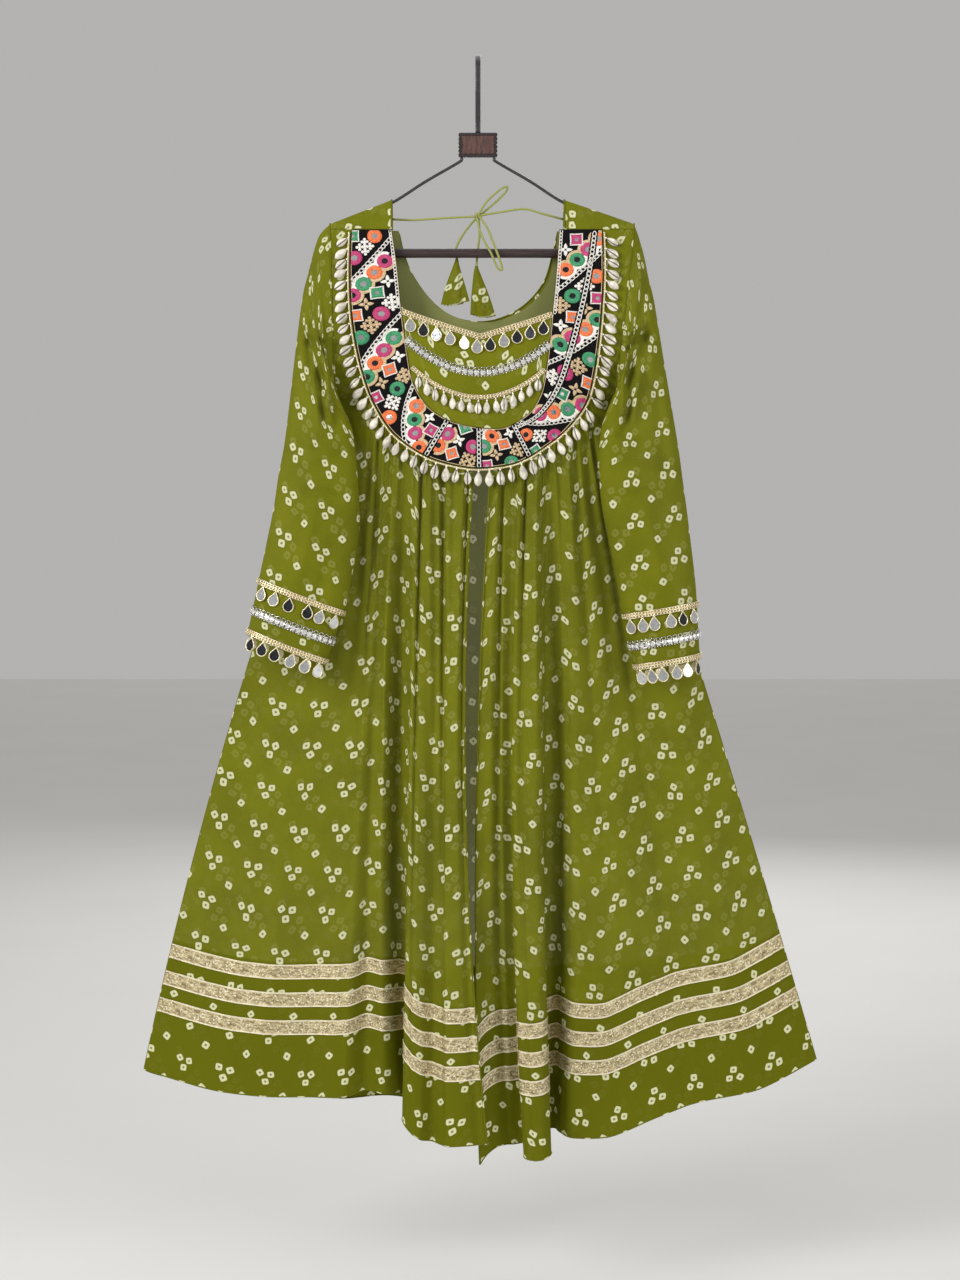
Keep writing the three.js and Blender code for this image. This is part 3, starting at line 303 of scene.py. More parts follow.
def rounded_strip(points, width, thickness):
    """Flat strip with rounded edges swept along a line in the YZ plane."""
    along = unit(np.gradient(points, axis=0))
    normal = beside(np.zeros(len(points)), -along[:, 2], along[:, 1])
    corner = thickness * 0.35
    section = []
    for cx, cn, start in ((1, 1, 0), (-1, 1, 90), (-1, -1, 180), (1, -1, 270)):
        for step in (0, 30, 60, 90):
            angle = math.radians(start + step)
            section.append([cx * (width / 2 - corner) + corner * math.cos(angle),
                            cn * (thickness / 2 - corner) + corner * math.sin(angle)])
    section = np.array(section)
    count = len(section)
    solid = points[:, None] + section[None, :, :1] * np.array([1.0, 0, 0]) + section[None, :, 1:] * normal[:, None]
    uv = beside(np.arange(count)[None], lengths_along(points)[:, None]) * MM
    ends = [np.arange(count)[None, ::-1], (len(points) - 1) * count + np.arange(count)[None]]
    return solid.reshape(-1, 3), [grid_quads(len(points), count, closed=True), *ends], uv.reshape(-1, 2), 0


bend = HOOK["inner_radius"] + HOOK["thickness"] / 2
arc = np.linspace(np.pi, 0, 25)
hook_line = np.vstack([
    smooth_line([[0, 0, -95], [0, 0, -80], [0, -4, -73], [0, -bend * 0.8, -55], [0, -bend, -45],
                 [0, -bend, -22]], 6),
    beside(np.zeros(25), np.cos(arc) * bend, -HOOK["inner_radius"] + np.sin(arc) * bend),
    [[0, bend, -26], [0, bend, -33.5]],
])
dressed("hook_strip", [rounded_strip(hook_line, HOOK["width"], HOOK["thickness"])], [black_steel],
        "black_metal", "hanger_hook")


def block_outline(inset):
    """Outline of the block: straight top and bottom, six half-round ridges up each end."""
    half_x, half_z = BLOCK["width"] / 2 - inset, BLOCK["height"] / 2 - inset
    middle = BLOCK["top"] - BLOCK["height"] / 2
    up = np.linspace(-1, 1, 61)
    ridges = np.abs(np.sin(np.pi * 3 * (up + 1))) * 1.6 - 1.6
    right = beside(half_x + ridges, middle + up * half_z)
    left = beside(-half_x - ridges, middle + up * half_z)[::-1]
    return np.vstack([right, left])


# Inset and depth of each ring of the block, from the back to the front. Its face is set in by a groove.
BLOCK_RINGS = [(1.2, 7), (0, 6), (0, -6), (1.0, -7), (3.4, -7), (3.8, -6.4), (4.2, -7)]
outlines = [np.insert(block_outline(inset), 1, y, axis=1) for inset, y in BLOCK_RINGS]
around = len(outlines[0])
block_points = np.vstack(outlines)
block_uv = block_points[:, [0, 2]] * MM
front_cap = ((len(outlines) - 1) * around + np.arange(around))[None]
dressed("hanger_block_ridged", [
    (block_points, [grid_quads(5, around, closed=True), np.arange(around)[None, ::-1]], block_uv, 0),
    (block_points, [grid_quads(3, around, closed=True) + 4 * around, front_cap], block_uv, 1),
], [block_edge, block_wood], "block_wood", "hanger_block", smooth=False)

for side_name, route in ARM_ROUTES.items():
    wire = smooth_line([[x, 0, z] for x, z in route], 6)
    dressed(f"hanger_wire_{side_name}", [tube(wire, WIRE_RADIUS, 12)], [black_steel],
            "black_metal", f"hanger_arm_{side_name}")

ROUNDING = np.array([0, 0.7, 2])     # of the bar's ends: steps along it, whose radius grows to the full one
bar_x = np.concatenate([BAR["left"] + ROUNDING, np.linspace(-150, 150, 7), BAR["right"] - ROUNDING[::-1]])
bar_radius = np.full(len(bar_x), BAR["radius"])
bar_radius[[0, -1]] = BAR["radius"] - 1.6
bar_radius[[1, -2]] = BAR["radius"] - 0.4
bar_line = beside(bar_x, np.zeros(len(bar_x)), np.full(len(bar_x), BAR["z"]))
dressed("hanger_bar_turned", [tube(bar_line, bar_radius, 28)], [bar_wood], "bar_wood", "hanger_bar")


# ---------- Fronts
# Two long panels of sheer crepe georgette, tie-dyed in small squares. They are gathered to the curved lower
# edge of the embroidered band, fall in soft folds and lie open at the middle. Their edges are rolled and sewn.
CLOTH = 1.2
SEAM_GAP = 0.5
SHOULDER_SEAM_Z = -217.0
UNDERARM_Z = -433.0
BACK_WAIST_Z = -485.0
ARMHOLE_TOP_Z = -209.5
ARMHOLE_HALF_DEPTH = 26.0
SIDES = {
    "left": {"neck": -110.5, "tip": -188.5, "underarm": -182.0, "side_mid": -328.0, "hem": -440.7,
             "hem_z": -1314.0},
    "right": {"neck": 110.5, "tip": 199.0, "underarm": 174.2, "side_mid": 314.0, "hem": 446.0, "hem_z": -1300.0},
}
NECK_POINT_Z = -179.4
FULLNESS = np.array([
    # z, front, back
    [SHOULDER_SEAM_Z, 12, 12], [-300, 23, 18], [UNDERARM_Z, 33, 26], [-540, 38, 31],
])
BAND = np.array([
    # outer x, outer z, inner x, inner z
    [-162, -217.5, -110, -217.5], [-163.5, -275, -102.5, -270], [-161, -330, -97, -325], [-152, -383, -91, -370],
    [-136, UNDERARM_Z, -83, -412], [-108, -477, -64, -443], [-62, -508, -36, -461], [-6, -521, -4, -469],
    [50, -514, 34, -470], [97, -486, 66, -451], [124, -460, 80, -428], [141, UNDERARM_Z, 86, -403],
    [151, -385, 91, -365], [157, -330, 95, -322], [160, -275, 100, -272], [159, -217.5, 104, -217.5],
])
BAND_UNDERARM = {"left": 4, "right": 11}
FOLDS = {
    # place across the panel, mid x, mid depth, hem x, hem z, hem depth
    "left": np.array([
        [0, -328, 0.6, -440.7, -1314, 0.6], [0.33, -270, 10, -351, -1336, 18], [0.67, -224, 15, -281, -1343, 26],
        [1, -185, 19, -222, -1343, 28], [1.5, -152, 26, -177, -1341, 38], [1.85, -138, 18, -147, -1335, 24],
        [2.05, -125, 24, -123, -1337, 36], [2.2, -118, 19, -105, -1338, 29], [2.35, -110, 8, -92, -1340, 13],
        [2.45, -99, 8, -81, -1345, 12], [2.55, -90, 30, -87, -1352, 46], [2.65, -89, 47, -98, -1359, 75],
        [2.8, -82, 53, -88, -1373, 88], [3, -70, 51, -74, -1383, 88], [3.2, -56, 43, -59, -1388, 76],
        [3.4, -43, 53, -42, -1391, 91], [3.7, -29, 55, -16, -1391, 89], [4, -16, 50, 12, -1391, 81],
    ]),
    "right": np.array([
        [0, 314, 0.6, 446, -1300, 0.6], [0.4, 270, 11, 369, -1335, 20], [1, 222, 16, 288, -1351, 26],
        [1.7, 182, 22, 229, -1371, 34], [2.3, 150, 26, 174, -1392, 42], [2.7, 128, 31, 124, -1391, 52],
        [2.95, 114, 25, 107, -1386, 42], [3.1, 106, 13, 101, -1386, 22], [3.2, 97, 8, 92, -1390, 12],
        [3.27, 88, 13, 84, -1393, 22], [3.33, 84, 34, 85, -1397, 54], [3.4, 83, 48, 95, -1403, 77],
        [3.55, 74, 57, 86, -1408, 90], [3.75, 56, 57, 70, -1410, 91], [3.9, 44, 49, 59, -1408, 79],
        [4, 49, 34, 65, -1402, 57], [4.1, 43, 26, 60, -1400, 43], [4.25, 32, 29, 47, -1401, 45],
        [4.4, 19, 34, 26, -1402, 54], [4.5, 8, 34, 12, -1410, 61], [4.6, -2, 35, 2.6, -1422, 67],
    ]),
}


def table_at(table, places):
    """Smooth curve through the rows of a table, at places given in rows."""
    places = np.atleast_1d(np.asarray(places, float))
    row = np.clip(np.floor(places).astype(int), 0, len(table) - 2)
    f = (places - row)[:, None]
    before, start, end, after = (table[np.clip(row + step, 0, len(table) - 1)] for step in (-1, 0, 1, 2))
    leave, arrive = (end - before) * 0.42, (after - start) * 0.42
    return (start + leave * f + (3 * (end - start) - 2 * leave - arrive) * f ** 2
            + (2 * (start - end) + leave + arrive) * f ** 3)


def through_three(start, middle, end, t):
    """Curve through a start, a middle and an end value."""
    return start + (4 * middle - 3 * start - end) * t + (2 * start + 2 * end - 4 * middle) * t ** 2


def lerp(start, end, t):
    return start + (end - start) * t


def armhole_x(side, z):
    return lerp(SIDES[side]["tip"], SIDES[side]["underarm"], (ARMHOLE_TOP_Z - z) / (ARMHOLE_TOP_Z - UNDERARM_Z))


def side_seam_x(side, z):
    sizes = SIDES[side]
    return through_three(sizes["underarm"], sizes["side_mid"], sizes["hem"],
                         (UNDERARM_Z - z) / (UNDERARM_Z - sizes["hem_z"]))


def edge_x(side, z):
    return np.where(z > UNDERARM_Z, armhole_x(side, z), side_seam_x(side, z))


def bodice_depth(x, z, column):
    """Distance of the front (column 1) or back (column 2) cloth from the hanger plane."""
    x, z = np.broadcast_arrays(np.asarray(x, float), np.asarray(z, float))
    left, right = edge_x("left", z), edge_x("right", z)
    across = np.clip(np.abs((2 * x - left - right) / (right - left)), 0, 1)
    height = (z - (ARMHOLE_TOP_Z + UNDERARM_Z) / 2) / ((ARMHOLE_TOP_Z - UNDERARM_Z) / 2)
    edge = np.maximum(CLOTH / 2, ARMHOLE_HALF_DEPTH * np.sqrt(np.maximum(0, 1 - height ** 2)))
    middle = np.interp(-z, -FULLNESS[:, 0], FULLNESS[:, column])
    return edge + (middle - edge) * (1 - across ** 2.5)


def on_front(x, z, out=0.0):
    x, z = np.broadcast_arrays(np.asarray(x, float), np.asarray(z, float))
    return beside(x, -bodice_depth(x, z, 1) - out, z)


def on_back(x, z, out=0.0):
    x, z = np.broadcast_arrays(np.asarray(x, float), np.asarray(z, float))
    return beside(x, bodice_depth(x, z, 2) + out, z)


def cloth_uv(grid, grain_column):
    """UV in metres of cloth: across each row from a grain line, and up each column from its lower end."""
    across = np.concatenate([np.zeros((len(grid), 1)),
                             np.cumsum(np.linalg.norm(np.diff(grid, axis=1), axis=-1), axis=1)], axis=1)
    across -= across[:, grain_column:grain_column + 1]
    up = np.cumsum(np.linalg.norm(np.diff(grid[::-1], axis=0), axis=-1), axis=0)
    up = np.concatenate([np.zeros((1, grid.shape[1])), up])[::-1]
    return beside(across, up) * MM


def cloth_part(grid, grain_column, number=0):
    """A grid of cloth as part of a piece."""
    return (grid.reshape(-1, 3), [grid_quads(*grid.shape[:2])],
            cloth_uv(grid, grain_column).reshape(-1, 2), number)


def grid_normals(grid, towards):
    """Directions off a grid of cloth, on the side of `towards`."""
    normals = unit(np.cross(np.gradient(grid, axis=1), np.gradient(grid, axis=0)))
    return np.where((normals @ np.asarray(towards, float))[..., None] < 0, -normals, normals)


def creases(x, z, rows):
    """Depth of soft ridges (+) and troughs (-) of cloth drawn along straight lines.
    Rows: start x, start z, end x, end z, depth, half width."""
    depth = np.zeros(np.broadcast(x, z).shape)
    for x0, z0, x1, z1, high, half in rows:
        length = math.hypot(x1 - x0, z1 - z0)
        along = ((x - x0) * (x1 - x0) + (z - z0) * (z1 - z0)) / length
        off = ((x - x0) * (z1 - z0) - (z - z0) * (x1 - x0)) / length
        fade = np.clip(along / (0.25 * length), 0, 1) * np.clip((length - along) / (0.25 * length), 0, 1)
        depth += high * fade * fade * (3 - 2 * fade) * np.exp(-(off / half) ** 2)
    return depth


def ripples(along, t, waves):
    """Depth of gathers that die away below the seam they hang from. Waves: the pitch in mm, how far they wander
    and over what length, their height, and the share of the cloth's length and the power that end them."""
    depth = 0
    for pitch, wander, slow, high, reach, power in waves:
        depth = depth + (np.sin(along / pitch * 2 * np.pi + wander * np.sin(along / slow)) * high
                         * np.exp(-(t / reach) ** power))
    return depth


def rolled_edge(line, radius):
    """A hem rolled to a thin round and sewn. It takes the second material of its piece."""
    return tube(line, radius, 8, 1)


# Tie-dyed georgette: 0.3 mm crepe silk that lets about an eighth of the light straight through, so folds and
# what lies behind show as deeper green. Each tied point leaves a pale square with a dark eye. The squares are
# 9 mm wide; three of them and then one alternate on a 54 mm lattice.
CELL = 54.0
SPOT_HALF = 4.55
THROUGH = 0.2            # share of the light that the crepe passes on, scattered, from behind
HEM_FACING = 0.178       # height of the skirt's hem facing, up to the top gota strip, in metres
THREE_SPOTS = [(0.6, 7.6), (-6.6, -4.6), (7.4, -3.4)]
DRIFT = 14.0             # how far the tied points stray from their lattice, over about 70 mm of cloth
EYE = (1.9, 1.0)         # radius at which the dark eye begins, and at which it is full
RIM = (2.2, 0.6)         # the deeper dye round each square, outward from its edge
# Shift of the painted see-through: the next layer's print, painted faintly into the near layer's colour.
PAINTED_SEE_THROUGH_SHIFT = (0.019, 0.016, 0)   # of the next layer's print, in metres
SHEER = 0.905            # share of the light that one layer stops


def tied_squares(node, uv, three_up, rimmed=True):
    """Masks of the print: pale squares, their dark eyes, and the deeper rim round each."""
    in_mm = node("VectorMath.SCALE", {0: uv, "Scale": 1000.0})
    drift = node("TexNoise", {"Vector": uv, "Scale": 14.0, "Detail": 1.0}, 1)
    drift = node("VectorMath.SUBTRACT", [drift, (0.5, 0.5, 0.5)])
    drift = node("VectorMath.SCALE", {0: drift, "Scale": DRIFT})
    tied = node("VectorMath.ADD", [in_mm, drift])
    marks, eyes, rims = [], [], []
    for shift, spots in ((0.0, THREE_SPOTS), (CELL / 2, [(0.0, 0.0)])):
        moved = node("VectorMath.ADD", [tied, (shift, shift, 0)])
        cells = node("VectorMath.MULTIPLY", [moved, (1 / CELL, 1 / CELL, 0)])
        number = node("VectorMath.FLOOR", [cells])
        part = node("VectorMath.SUBTRACT", [cells, number])
        part = node("VectorMath.SUBTRACT", [part, (0.5, 0.5, 0)])
        part = node("VectorMath.MULTIPLY", [part, (CELL, CELL, 0)])
        chance = node("TexWhiteNoise", {"Vector": number})
        for i, (x, y) in enumerate(spots):
            y = y if three_up else -y
            local = node("VectorMath.ADD", [part, (-x, -y, 0)])
            angle = node("Math.MULTIPLY_ADD", [chance, 6.28, 2.1 * i])
            angle = node("Math.SINE", [angle])
            angle = node("Math.MULTIPLY_ADD", [angle, 0.3, 0.35 + 0.3 * len(spots)])
            turned = node("VectorRotate", {"Vector": local, "Angle": angle}, rotation_type="Z_AXIS")
            square = node("VectorMath.MULTIPLY", [turned, turned])
            fourth = node("VectorMath.DOT_PRODUCT", [square, square], 1)
            away = node("Math.POWER", [fourth, 0.25])
            near = node("VectorMath.LENGTH", [turned], 1)
            marks.append(node("MapRange", {"Value": away, "From Min": SPOT_HALF + 0.35,
                                           "From Max": SPOT_HALF - 0.55}))
            eyes.append(node("MapRange", {"Value": near, "From Min": EYE[0], "From Max": EYE[1]}))
            if rimmed:
                rims.append(node("MapRange", {"Value": away, "From Min": SPOT_HALF + RIM[0],
                                              "From Max": SPOT_HALF + RIM[1]}))
    masks = []
    for several in filter(None, (marks, eyes, rims)):
        mask = several[0]
        for other in several[1:]:
            mask = node("Math.MAXIMUM", [mask, other])
        masks.append(mask)
    return masks


def bandhani_georgette(name, three_up, alpha, behind=0.0, doubled=0.0, dye=("#555701", "#757603")):
    """The printed cloth. `behind` is the strength of the next layer's squares, painted faintly into this layer's
    colour as painted see-through, and `doubled` the height in metres of a faced hem, which lets no light through."""
    material, node = new_material(name)
    uv = node("TexCoord", output=UV)
    mark, eye, rim = tied_squares(node, uv, three_up)
    cloud = node("TexNoise", {"Vector": uv, "Scale": 9.0, "Detail": 4.0, "Roughness": 0.6})
    cloud = node("MapRange", {"Value": cloud, "From Min": 0.35, "From Max": 0.65})
    tone = node("Mix", {0: cloud, 6: linear(dye[0]), 7: linear(dye[1])}, 2, data_type="RGBA")
    # Crepe grain is about 0.5 mm in the cloth and is drawn at 2 mm, so that it shows from a step away.
    grain = node("TexNoise", {"Vector": uv, "Scale": 480.0, "Detail": 3.0, "Roughness": 0.7})
    tone = node("Mix", {0: grain, 6: tone, 7: linear("#7d8018")}, 2, data_type="RGBA")
    if behind:
        # Painted see-through: the next layer's squares are painted faintly into this colour, out of step with the
        # near ones.
        layer = node("VectorMath.MULTIPLY_ADD", [uv, (-1, 1, 1), PAINTED_SEE_THROUGH_SHIFT])
        painted_see_through, painted_see_through_eye = tied_squares(node, layer, not three_up, rimmed=False)
        painted_see_through = node("Math.SUBTRACT", [painted_see_through, painted_see_through_eye])
        painted_see_through = node("Math.MULTIPLY", [painted_see_through, behind])
        tone = node("Mix", {0: painted_see_through, 6: tone, 7: linear("#cfce85")}, 2, data_type="RGBA")
    for mask, share, colour in ((rim, 0.22, "#333703"), (mark, 0.9, "#e0dfb2"), (eye, 0.8, "#464a18")):
        dyed = node("Math.MULTIPLY", [mask, share])
        tone = node("Mix", {0: dyed, 6: tone, 7: linear(colour)}, 2, data_type="RGBA")
    puckers = node("Math.ADD", [grain, mark])
    bump = node("Bump", {"Height": puckers, "Strength": 0.35, "Distance": 0.0006})
    if doubled:
        up = node("SeparateXYZ", [uv]).node.outputs[1]
        layers = node("MapRange", {"Value": up, "From Min": doubled, "From Max": doubled + 3 * MM})
        alpha = node("MapRange", {"Value": layers, "To Min": 1.0, "To Max": alpha})
        deeper = node("MapRange", {"Value": layers, "To Min": 0.8, "To Max": 0.0})
        rest = node("Math.SUBTRACT", [1.0, mark])
        deeper = node("Math.MULTIPLY", [deeper, rest])
        tone = node("Mix", {0: deeper, 6: tone, 7: linear("#606200")}, 2, data_type="RGBA")
    face = node("BsdfPrincipled", {
        "Base Color": tone, "Roughness": 0.75, "Normal": bump, "Alpha": alpha, "Specular IOR Level": 0.12,
        "Sheen Weight": 0.12, "Sheen Roughness": 0.4, "Sheen Tint": linear("#a9b43a")})
    lit_through = node("BsdfTranslucent", {"Color": tone, "Normal": bump})
    shader = node("MixShader", [THROUGH, face, lit_through])
    node("OutputMaterial", {"Surface": shader})
    return material


sheer = {}
faced = {}
for side_name, three_up in (("left", False), ("right", True)):
    cloth_name = f"tie_dyed_georgette_{side_name}"
    sheer[side_name] = bandhani_georgette(cloth_name, three_up, SHEER, 0.13)
    faced[side_name] = bandhani_georgette(f"{cloth_name}_with_faced_hem", three_up, SHEER, 0.1, HEM_FACING)
lined_cloth = bandhani_georgette("tie_dyed_georgette_lined", True, 0.985, 0.05)
# The same cloth rolled to a hem is several layers thick, so it shows as a solid darker line.
hem_cloth = bandhani_georgette("tie_dyed_georgette_rolled_hem", True, 1.0, dye=("#474b04", "#5c5f08"))

# Gathers run down from the band's seam: narrow and firm at the stitches, fewer and softer lower down.
FRONT_RIPPLES = [(9.0, 1.3, 31, 1.5, 0.07, 1), (21.0, 1.9, 47, 2.2, 0.33, 2)]
FIRST_STITCHES = 0.012   # share of the length in which the gathers reach their full depth
# A few sharp valleys between the folds run on far down and open out slowly. Each fold lies over to the left, so
# its left edge is crisp and its right side slopes away. The last two are shares of the pitch.
FRONT_VALLEYS = {"pitch": 27.0, "depth": 12.0, "crisp": 0.05, "sloping": 0.14}
FRONT_PARTS = 9          # columns between two rows of the fold table
FRONT_ROWS = 150
BODICE_ROWS = 44
CREASE_EDGE = 0.15       # share of a panel's place in which creases die away towards its side seam
FRONT_CREASES = {
    "left": [
        [-205, -440, -186, -470, -5, 7], [-188, -470, -160, -560, 3.5, 8], [-176, -440, -150, -520, -3, 6],
        [-150, -520, -128, -900, 2.6, 6], [-96, -540, -112, -1180, -2.4, 6], [-168, -560, -190, -1000, 2.4, 9],
        [-118, -560, -122, -980, 2.5, 5], [-230, -700, -262, -1200, 2.2, 14], [-300, -860, -345, -1290, -2.4, 16],
        [-62, -530, -60, -900, 2.2, 4], [-44, -535, -42, -980, -2.2, 4], [-250, -980, -290, -1330, 2.5, 12],
    ],
    "right": [
        [190, -440, 168, -480, -5, 7], [172, -470, 150, -560, 3.5, 8], [160, -520, 176, -900, -2.4, 8],
        [150, -560, 205, -1180, 2.6, 10], [215, -760, 268, -1240, -2.2, 13], [112, -540, 128, -1000, 2.2, 7],
        [92, -525, 94, -640, -2.6, 4], [70, -540, 78, -900, 2.2, 4], [240, -600, 330, -1240, 2.4, 18],
        [60, -560, 66, -1100, -1.8, 4], [14, -560, 16, -900, 2, 4], [330, -1000, 385, -1300, -2.2, 14],
    ],
}


def front_surfaces(side):
    """Points of the upper part beside the band and of the long gathered part, row by row."""
    folds = FOLDS[side]
    count = (len(folds) - 1) * FRONT_PARTS + 1
    place, mid_x, mid_depth, hem_x, hem_z, hem_depth = table_at(folds, np.arange(count) / FRONT_PARTS).T
    first, step = (BAND_UNDERARM["left"] - 1, 1) if side == "left" else (BAND_UNDERARM["right"] + 1, -1)
    seam = table_at(BAND, first + step * np.maximum(place, 1))[:, :2]
    top_x = np.where(place <= 1, lerp(edge_x(side, UNDERARM_Z), BAND[BAND_UNDERARM[side], 0], place), seam[:, 0])
    top_z = np.where(place <= 1, UNDERARM_Z, seam[:, 1])
    top_depth = bodice_depth(top_x, top_z, 1)
    t = np.linspace(0, 1, FRONT_ROWS + 1)[:, None]
    x, z = through_three(top_x, mid_x, hem_x, t), lerp(top_z, hem_z, t)
    depth = through_three(top_depth, mid_depth, hem_depth, t)
    along = lengths_along(beside(top_x, top_z))
    gathered = np.clip((place - 0.9) / 0.35, 0, 1)
    phase = (along / FRONT_VALLEYS["pitch"] + 0.16 * np.sin(along / 19)) % 1 - 0.5
    half = np.where(phase * step > 0, FRONT_VALLEYS["crisp"], FRONT_VALLEYS["sloping"])
    valley = np.exp(-(phase / half) ** 2) * (0.55 + 0.45 * np.sin(along / 26 + 1)) * (1 - 0.75 * t)
    depth = depth + ((ripples(along, t, FRONT_RIPPLES) - FRONT_VALLEYS["depth"] * valley) * gathered
                     * np.clip(t / FIRST_STITCHES, 0, 1))
    at_side = np.clip(place / CREASE_EDGE, 0, 1)
    depth = depth + creases(x, z, FRONT_CREASES[side]) * at_side
    skirt = beside(x, -depth, z)
    bodice_columns = int(np.sum(place < 1.001))
    station = first + step * (1 - 4 * (1 - np.arange(BODICE_ROWS) / BODICE_ROWS))
    band_x, station_z = table_at(BAND, station)[:, :2].T
    station_z[0] = SHOULDER_SEAM_Z - SEAM_GAP
    rows_x = lerp(edge_x(side, station_z)[:, None], band_x[:, None], place[None, :bodice_columns])
    upper = on_front(rows_x, station_z[:, None])
    upper[..., 1] -= creases(upper[..., 0], upper[..., 2], FRONT_CREASES[side]) * at_side[:bodice_columns]
    return upper, skirt


front_grids = {}
for side_name, cloth in faced.items():
    upper, skirt = front_surfaces(side_name)
    front_grids[side_name] = skirt
    columns, bodice_columns = skirt.shape[1], upper.shape[1]
    grain = bodice_columns // 2
    skirt_uv = cloth_uv(skirt, grain)
    joined_uv = cloth_uv(np.concatenate([upper, skirt[:, :bodice_columns]]), grain)
    points = np.vstack([upper.reshape(-1, 3), skirt.reshape(-1, 3)])
    uvs = np.vstack([joined_uv[:len(upper)].reshape(-1, 2), skirt_uv.reshape(-1, 2)])
    offset = upper.shape[0] * bodice_columns
    seam_row = np.stack([(upper.shape[0] - 1) * bodice_columns + np.arange(bodice_columns),
                         offset + np.arange(bodice_columns)])
    joined = beside(seam_row[0, :-1], seam_row[0, 1:], seam_row[1, 1:], seam_row[1, :-1])
    faces = [grid_quads(upper.shape[0], bodice_columns), joined, grid_quads(FRONT_ROWS + 1, columns) + offset]
    # The free edge is turned back and wavers a little; the hem is rolled.
    free = skirt[2:, -1] + np.array([0, -0.3, 0])
    dressed(
        f"front_{side_name}_cloth", [(points, faces, uvs, 0), rolled_edge(skirt[-1], 0.8), rolled_edge(free, 1.3)],
        [cloth, hem_cloth], "georgette", f"front_{side_name}")


# ---------- Back
# A plain lined back bodice with a wide scooped neck, and below a level waist seam a back skirt of the sheer
# cloth in seven even gathers. The fronts and the back are joined by narrow French seams at the sides.
BACK = {"folds": 7, "fold_hem": 13, "fold_mid": 8, "mid_depth": 44, "hem_depth": 66, "hem_drop": 62}
BACK_SEAM_LENGTH = 330   # of the waist seam, along which its gathers are counted
BACK_RIPPLES = [(8.6, 1, 23, 1.4, 0.08, 1), (19, 1.7, 41, 2.0, 0.3, 2)]
BACK_NECK = np.array([
    # x, z
    [-102, SHOULDER_SEAM_Z], [-97, -240], [-86, -270], [-62, -303], [-33, -325], [0, -333],
    [34, -329], [67, -311], [90, -282], [99, -245], [103, SHOULDER_SEAM_Z],
])
BACK_COLUMNS = 280
BACK_ROWS = 120
BACK_CREASES = [
    [-150, -500, -190, -900, 3, 9], [-60, -495, -80, -980, -2.6, 8], [30, -495, 24, -760, 3, 7],
    [120, -500, 160, -1000, -3, 10], [-260, -860, -330, -1290, 3, 14], [230, -800, 300, -1280, 3, 14],
    [-20, -700, -30, -1300, 2.4, 9], [90, -640, 110, -1240, 2.6, 9], [-190, -440, -120, -478, 4, 8],
    [182, -440, 112, -478, 4, 8], [-90, -380, -110, -470, -2, 9], [80, -390, 96, -472, -2, 9],
]


def back_surface():
    across = np.linspace(0, 1, BACK_COLUMNS + 1)
    t = np.linspace(0, 1, BACK_ROWS + 1)[:, None]
    top_across = lerp(across, across ** 2 * (3 - 2 * across), 0.25)
    swell = (1 - np.abs(2 * across - 1) ** 2.4) ** 0.8
    wave = np.cos(2 * np.pi * BACK["folds"] * across + np.pi) * np.sqrt(swell)
    hem_z = lerp(SIDES["left"]["hem_z"], SIDES["right"]["hem_z"], across) - BACK["hem_drop"] * swell
    z = lerp(BACK_WAIST_Z, hem_z, t)
    place = lerp(top_across, across, np.minimum(1, t * 3))
    x = lerp(side_seam_x("left", z), side_seam_x("right", z), place)
    half = CLOTH / 2
    top = bodice_depth(x, np.full_like(x, BACK_WAIST_Z), 2)
    start = half + (top - half) * (1 - np.abs(2 * place - 1) ** 2.5) ** 0.8
    waist_x = lerp(side_seam_x("left", BACK_WAIST_Z), side_seam_x("right", BACK_WAIST_Z), top_across)
    at_waist = bodice_depth(waist_x, np.full_like(waist_x, BACK_WAIST_Z), 2)
    middle = half + (BACK["mid_depth"] + BACK["fold_mid"] * wave) * swell
    hem = half + (BACK["hem_depth"] + BACK["fold_hem"] * wave) * swell
    depth = through_three(np.minimum(at_waist, start + at_waist), middle, hem, t)
    ripple = ripples(across * BACK_SEAM_LENGTH, t, BACK_RIPPLES) * np.clip(t / FIRST_STITCHES, 0, 1)
    depth = depth + (ripple + creases(x, z, BACK_CREASES)) * np.clip(swell * 4, 0, 1)
    return beside(x, depth, z)


back_grid = back_surface()
dressed("back_skirt_cloth", [
    cloth_part(back_grid, BACK_COLUMNS // 2), rolled_edge(back_grid[-1], 0.8),
    rolled_edge(back_grid[:, 0], 1.0), rolled_edge(back_grid[:, -1], 1.0), rolled_edge(back_grid[0], 1.1),
], [faced["right"], hem_cloth], "georgette", "back_skirt")

neck_curve = smooth_line(BACK_NECK, 8)


def back_neck_z(x):
    return np.interp(x, neck_curve[:, 0], neck_curve[:, 1], left=SHOULDER_SEAM_Z, right=SHOULDER_SEAM_Z)


BODICE_COLUMNS = 150


def back_bodice_surface():
    left, right = armhole_x("left", SHOULDER_SEAM_Z), armhole_x("right", SHOULDER_SEAM_Z)
    across = np.linspace(0, 1, BODICE_COLUMNS + 1)
    top_z = back_neck_z(lerp(left, right, across)) - SEAM_GAP
    t = np.linspace(0, 1, 71)[:, None]
    split = 0.78         # share of the rows that lie above the underarm
    z = np.where(t < split, lerp(top_z, UNDERARM_Z, t / split),
                 lerp(UNDERARM_Z, BACK_WAIST_Z + SEAM_GAP, (t - split) / (1 - split)))
    grid = on_back(lerp(edge_x("left", z), edge_x("right", z), across), z)
    grid[..., 1] += creases(grid[..., 0], grid[..., 2], BACK_CREASES) * (1 - (2 * across - 1) ** 8)
    return grid


bodice_grid = back_bodice_surface()
neck_roll = bodice_grid[0][np.abs(bodice_grid[0][:, 0]) < 105]     # its top row between the shoulders
back_bodice = dressed("back_bodice_cloth", [
    cloth_part(bodice_grid, (BODICE_COLUMNS + 1) // 2), rolled_edge(neck_roll, 1.1),
], [lined_cloth, hem_cloth], "georgette", "back_bodice")

